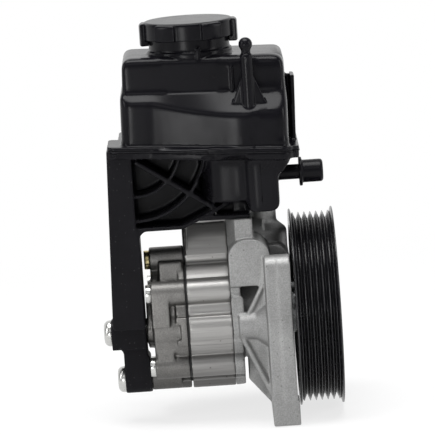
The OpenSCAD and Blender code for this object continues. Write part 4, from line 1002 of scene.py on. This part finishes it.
@dataclass
class PumpBody:
    """The castings with their bolts, valve and gasket, in millimetres of the part's frame.

    Attributes:
        bolt_circle_r: Circle of the through bolts.
        yellow_deg: Angle of the one bolt that is plated yellow, from upright towards the front.
        bolt_reach: Distance within which a face belongs to that bolt.
        front_lobe: Place and radius of the rounded lobe along the front of the castings.
        bottom_lobe: Place and radius of the lobe along their underside.
        bridge: Place of the round bridge from the front lobe to the arm.
        gusset_front_y: Front face of the arm's gussets.
        pack_clear_r: Radius that the ring's bore for the vane pack needs.
        spring_clear_r: Radius that the cover's recess for the plate spring needs.
        spool_travel: How far the valve's spool pushes its spring together; not used.
    """

    bolt_circle_r: float = 37.5
    yellow_deg: float = 15.0
    bolt_reach: float = 8.0
    front_lobe: tuple[float, float, float] = (-33.5, -2.2, 9.2)
    bottom_lobe: tuple[float, float, float] = (2.0, -37.6, 8.2)
    bridge: tuple[float, float] = (-38.0, -1.8)
    gusset_front_y: float = -41.0
    pack_clear_r: float = 31.1
    spring_clear_r: float = 20.6
    spool_travel: float = 6.0

    def dress(self, softener: Softener) -> None:
        """Rounds the castings' edges and gives them their finishes.

        Args:
            softener: Makes the rounded copies.
        """
        y, z, r = self.front_lobe
        low_y, low_z, low_r = self.bottom_lobe
        gusset_y, pack_r, spring_r = self.gusset_front_y, self.pack_clear_r, self.spring_clear_r
        softener.melted("front_housing", CAST_ALUMINIUM, 0.6, (Melt(3),), 0.4, (
            Rod((-50.9, y, z), (-44.0, y, z), r, r - 0.4),
            Rod((-50.9, low_y, low_z), (-45.0, low_y, low_z), low_r, 7.8),
            Rod((-45.0, *self.bridge), (-37.0, *self.bridge), 8.1, 9.0),
            Rod((-37.0, *self.bridge), (-29.6, *self.bridge), 9.0, 14.0),
            Rod((-45.0, gusset_y, -2.0), (-29.0, gusset_y, 27.0), 1.7, 1.7),
            Rod((-45.0, gusset_y, -9.0), (-29.0, gusset_y, -44.5), 1.9, 1.9)))
        softener.melted("ring_housing", FINE_ALUMINIUM, 0.6, (Melt(3),), 0.5, (
            Rod((-76.4, y, z), (-51.0, y, z), r, r, pack_r),
            Rod((-76.8, low_y, low_z), (-51.0, low_y, low_z), low_r, low_r, pack_r),
            Wedge((-76.0, -23.5, 39.5), (25.0, 40.0), (-74.5, -14.3, 57.5), (23.5, 28.0))))
        softener.melted("rear_cover", COVER_ALUMINIUM, 0.6, (Melt(3),), 0.5, (
            Rod((-97.6, -24.4, -3.4), (-77.7, -24.4, -3.4), 12.2, 12.2, spring_r),
            Rod((-97.6, -22.3, -10.4), (-77.7, -22.3, -10.4), 12.2, 12.2, spring_r),
            Wedge((-93.0, -27.6, 20.0), (14.5, 12.0), (-92.4, -25.4, 36.0), (13.5, 11.0)),
            Rod((-97.0, 2.0, -37.4), (-77.7, 2.0, -37.4), 8.0, 8.2),
            Wedge((-96.6, -34.0, -21.6), (10.0, 14.0), (-96.6, -34.0, -11.8), (10.0, 14.0))))
        bolts = softener.bevelled("cover_bolts", ZINC, 0.25)
        self._plate_yellow(bolts)
        Group(BLACK_RUBBER, ("cover_gasket", "valve_plug_seal", "shaft_seal")).dress()
        Group(ZINC, ("valve_plug",)).dress()
        Group(GROUND_STEEL, ("valve_spool",)).dress()
        self._shorten_spring(softener)

    def _shorten_spring(self, softener: Softener) -> None:
        """Makes a copy of the valve's spring, with a mesh of its own.

        Args:
            softener: Makes the spring's copy.
        """
        shape = softener.merged("valve_spring", FLAT_DEG)
        spring = softener.finish_object("valve_spring", shape, GROUND_STEEL, SHARP_DEG)
        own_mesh(spring)
        LOG.info("%s: %d faces, shortens with the spool", spring.name, len(spring.data.polygons))

    def _plate_yellow(self, bolts: bpy.types.Object) -> None:
        """Gives the one odd bolt its yellow plating.

        Args:
            bolts: The rounded copy of all the bolts.
        """
        turn = math.radians(self.yellow_deg)
        axis = Vector((0.0, -math.sin(turn), math.cos(turn))) * self.bolt_circle_r * MM
        bolts.data.materials.append(YELLOW_ZINC.material())
        for face in bolts.data.polygons:
            off = face.center - axis
            if math.hypot(off.y, off.z) < self.bolt_reach * MM:
                face.material_index = 1


@dataclass
class VanePack:
    """The pumping pieces inside the castings."""

    def dress(self) -> None:
        """Gives the inner pieces their finishes."""
        Group(GROUND_STEEL, ("cam_ring", "rotor", "vanes", "front_plate", "rear_plate", "plate_spring",
                             "dowel_pins")).dress()


@dataclass
class Drive:
    """The shaft with its bearing and the belt pulley.

    Attributes:
        edge_mm: Width of the bevels on the pulley's edges.
    """

    edge_mm: float = 0.35

    def dress(self, softener: Softener) -> None:
        """Rounds the pulley's edges and gives the drive its finishes.

        Args:
            softener: Makes the rounded copies.
        """
        softener.bevelled("pulley", BLACK_PAINT, self.edge_mm)
        Group(GROUND_STEEL, ("drive_shaft", "bearing_outer_race", "bearing_inner_race", "bearing_balls",
                             "bearing_circlip", "pulley_hub")).dress()
        Group(BRONZE, ("bearing_cage", "rear_bush")).dress()
        softener.bevelled("pulley_bolts", ZINC, 0.25)


@dataclass
class Studio:
    """Camera, lights, floor and world.

    Attributes:
        target_mm: The point in the middle of the picture.
        distance_mm: Distance from the camera to that point.
        elevation_deg: Height of the camera over the horizon.
        azimuth_deg: Turn of the camera about the upright axis.
        roll_deg: Turn of the camera about its own line of sight.
        focal_px: Focal length, in pixels of the picture.
        floor_gap_mm: Distance of the floor under the pump.
        floor_half: Half of the floor's width, in metres.
        back_y: Place of the white wall behind the pump, in metres.
        back_high: Height of that wall, in metres.
        shadow_reach: Distances over which the floor's shadow fades out, in metres.
        white_near: How much of the floor's tone under the pump is plain white.
    """

    target_mm: Point = (-55.7, 0.0, 57.5)
    distance_mm: float = 2040.0
    elevation_deg: float = 9.5
    azimuth_deg: float = 0.0
    roll_deg: float = 3.8
    focal_px: float = 3400.0
    floor_gap_mm: float = 0.5
    floor_half: float = 12.0
    back_y: float = 4.0
    back_high: float = 6.0
    shadow_reach: tuple[float, float] = (0.12, 0.6)
    white_near: float = 0.75

    def place_camera(self) -> None:
        """Sets the camera at the photograph's angle."""
        data = bpy.data.cameras.new("camera")
        data.sensor_width = 36.0
        data.lens = self.focal_px / IMAGE_PX * data.sensor_width
        data.clip_start = 0.1
        data.clip_end = 100.0
        camera = bpy.data.objects.new("camera", data)
        bpy.context.scene.collection.objects.link(camera)
        up, turn = math.radians(self.elevation_deg), math.radians(self.azimuth_deg)
        back = Vector((math.sin(turn) * math.cos(up), -math.cos(turn) * math.cos(up), math.sin(up)))
        aim = (-back).to_track_quat("-Z", "Y").to_matrix().to_4x4()
        spin = Matrix.Rotation(math.radians(-self.roll_deg), 4, "Z")
        centre = Vector(self.target_mm) * MM
        camera.matrix_world = Matrix.Translation(centre + back * self.distance_mm * MM) @ aim @ spin
        bpy.context.scene.camera = camera

    @staticmethod
    def add_softbox(name: str, place: Point, aim: Point, size: tuple[float, float], watts: float) -> None:
        """Adds one soft area lamp.

        Args:
            name: The lamp's name.
            place: Where it hangs, in metres.
            aim: The point that it faces, in metres.
            size: Its width and height, in metres.
            watts: Its power.
        """
        data = bpy.data.lights.new(name, "AREA")
        data.shape = "RECTANGLE"
        data.size, data.size_y = size
        data.energy = watts
        lamp = bpy.data.objects.new(name, data)
        bpy.context.scene.collection.objects.link(lamp)
        way = Vector(aim) - Vector(place)
        lamp.matrix_world = Matrix.Translation(place) @ way.to_track_quat("-Z", "Y").to_matrix().to_4x4()

    def light(self) -> None:
        """Hangs the softboxes round the pump."""
        aim = (-0.06, 0.0, 0.05)
        self.add_softbox("left_box", (-1.2, -0.5, 0.6), aim, (0.35, 0.9), 5.0)
        self.add_softbox("right_box", (1.2, -0.4, 0.5), aim, (0.35, 0.9), 4.5)
        self.add_softbox("top_box", (-0.1, -0.1, 1.2), aim, (1.0, 0.7), 18.0)
        self.add_softbox("front_box", (-0.2, -1.6, 1.2), aim, (0.9, 0.5), 2.0)
        self.add_softbox("low_left_box", (-0.327, -0.898, 0.045), (-0.055, -0.04, 0.045), (0.2, 0.2), 1.3)

    def add_floor(self, low_z: float) -> None:
        """Lays the pale floor.

        Args:
            low_z: The pump's lowest point, in metres.
        """
        shape = bmesh.new()
        bmesh.ops.create_grid(shape, x_segments=1, y_segments=1, size=self.floor_half)
        bmesh.ops.translate(shape, verts=shape.verts,
                            vec=(0.0, self.back_y - self.floor_half, low_z - self.floor_gap_mm * MM))
        rear = [e for e in shape.edges if all(v.co.y > self.back_y - MM for v in e.verts)]
        wall = bmesh.ops.extrude_edge_only(shape, edges=rear)["geom"]
        raised = [v for v in wall if isinstance(v, bmesh.types.BMVert)]
        bmesh.ops.translate(shape, verts=raised, vec=(0.0, 0.0, self.back_high))
        mesh = bpy.data.meshes.new("floor")
        shape.to_mesh(mesh)
        shape.free()
        made = bpy.data.materials.new("floor_white")
        made.use_nodes = True
        tree = made.node_tree
        shader = tree.nodes["Principled BSDF"]
        shader.inputs["Base Color"].default_value = (0.9, 0.9, 0.9, 1.0)
        shader.inputs["Roughness"].default_value = 0.9
        shader.inputs["Specular IOR Level"].default_value = 0.0
        glow = tree.nodes.new("ShaderNodeEmission")
        mix = tree.nodes.new("ShaderNodeMixShader")
        path = tree.nodes.new("ShaderNodeLightPath")
        seen = self._seen_rays(tree, path)
        share = tree.nodes.new("ShaderNodeMath")
        share.operation = "MULTIPLY"
        place = tree.nodes.new("ShaderNodeTexCoord")
        reach = tree.nodes.new("ShaderNodeVectorMath")
        reach.operation = "LENGTH"
        fade = tree.nodes.new("ShaderNodeMapRange")
        fade.inputs["From Min"].default_value = self.shadow_reach[0]
        fade.inputs["From Max"].default_value = self.shadow_reach[1]
        fade.inputs["To Min"].default_value = self.white_near
        tree.links.new(place.outputs["Object"], reach.inputs[0])
        tree.links.new(reach.outputs["Value"], fade.inputs["Value"])
        tree.links.new(fade.outputs["Result"], share.inputs[1])
        out = tree.nodes["Material Output"]
        tree.links.new(seen, share.inputs[0])
        tree.links.new(share.outputs[0], mix.inputs["Fac"])
        tree.links.new(shader.outputs["BSDF"], mix.inputs[1])
        tree.links.new(glow.outputs["Emission"], mix.inputs[2])
        tree.links.new(mix.outputs["Shader"], out.inputs["Surface"])
        mesh.materials.append(made)
        floor = bpy.data.objects.new("floor", mesh)
        bpy.context.scene.collection.objects.link(floor)
        floor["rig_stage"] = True

    @staticmethod
    def _seen_rays(tree: Tree, path: bpy.types.Node) -> Socket:
        """Adds up the rays that show the background.

        Args:
            tree: The nodes of the floor or the world.
            path: The light path node.

        Returns:
            A socket that is 1 for camera, glossy and transmission rays.
        """
        seen = path.outputs["Is Camera Ray"]
        for kind in ("Is Glossy Ray", "Is Transmission Ray"):
            either = tree.nodes.new("ShaderNodeMath")
            either.operation = "MAXIMUM"
            tree.links.new(seen, either.inputs[0])
            tree.links.new(path.outputs[kind], either.inputs[1])
            seen = either.outputs[0]
        return seen

    @staticmethod
    def set_world() -> None:
        """Sets the soft white surroundings."""
        world = bpy.data.worlds.new("studio")
        world.use_nodes = True
        bpy.context.scene.world = world
        tree = world.node_tree
        plain = tree.nodes["Background"]
        plain.inputs["Color"].default_value = (0.97, 0.98, 1.0, 1.0)
        plain.inputs["Strength"].default_value = 0.25

    def build(self, low_z: float) -> None:
        """Builds the studio.

        Args:
            low_z: The pump's lowest point, in metres.
        """
        self.place_camera()
        self.light()
        self.add_floor(low_z)
        self.set_world()
        bpy.context.scene.view_settings.view_transform = "Standard"


def main() -> None:
    """Builds the pump's looks and its studio."""
    logging.basicConfig(level=logging.INFO, format="%(name)s %(message)s")
    cad_low, cad_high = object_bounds()
    softener = Softener()
    tank = Reservoir()
    tank.dress(softener)
    tank.add_parting_lines()
    tank.add_ridges()
    tank.add_weld_bead()
    PumpBody().dress(softener)
    VanePack().dress()
    Drive().dress(softener)
    Studio().build(cad_low.z)
    LOG.info("rounded copies: %s", ", ".join(softener.made))


if __name__ == "__main__":
    main()
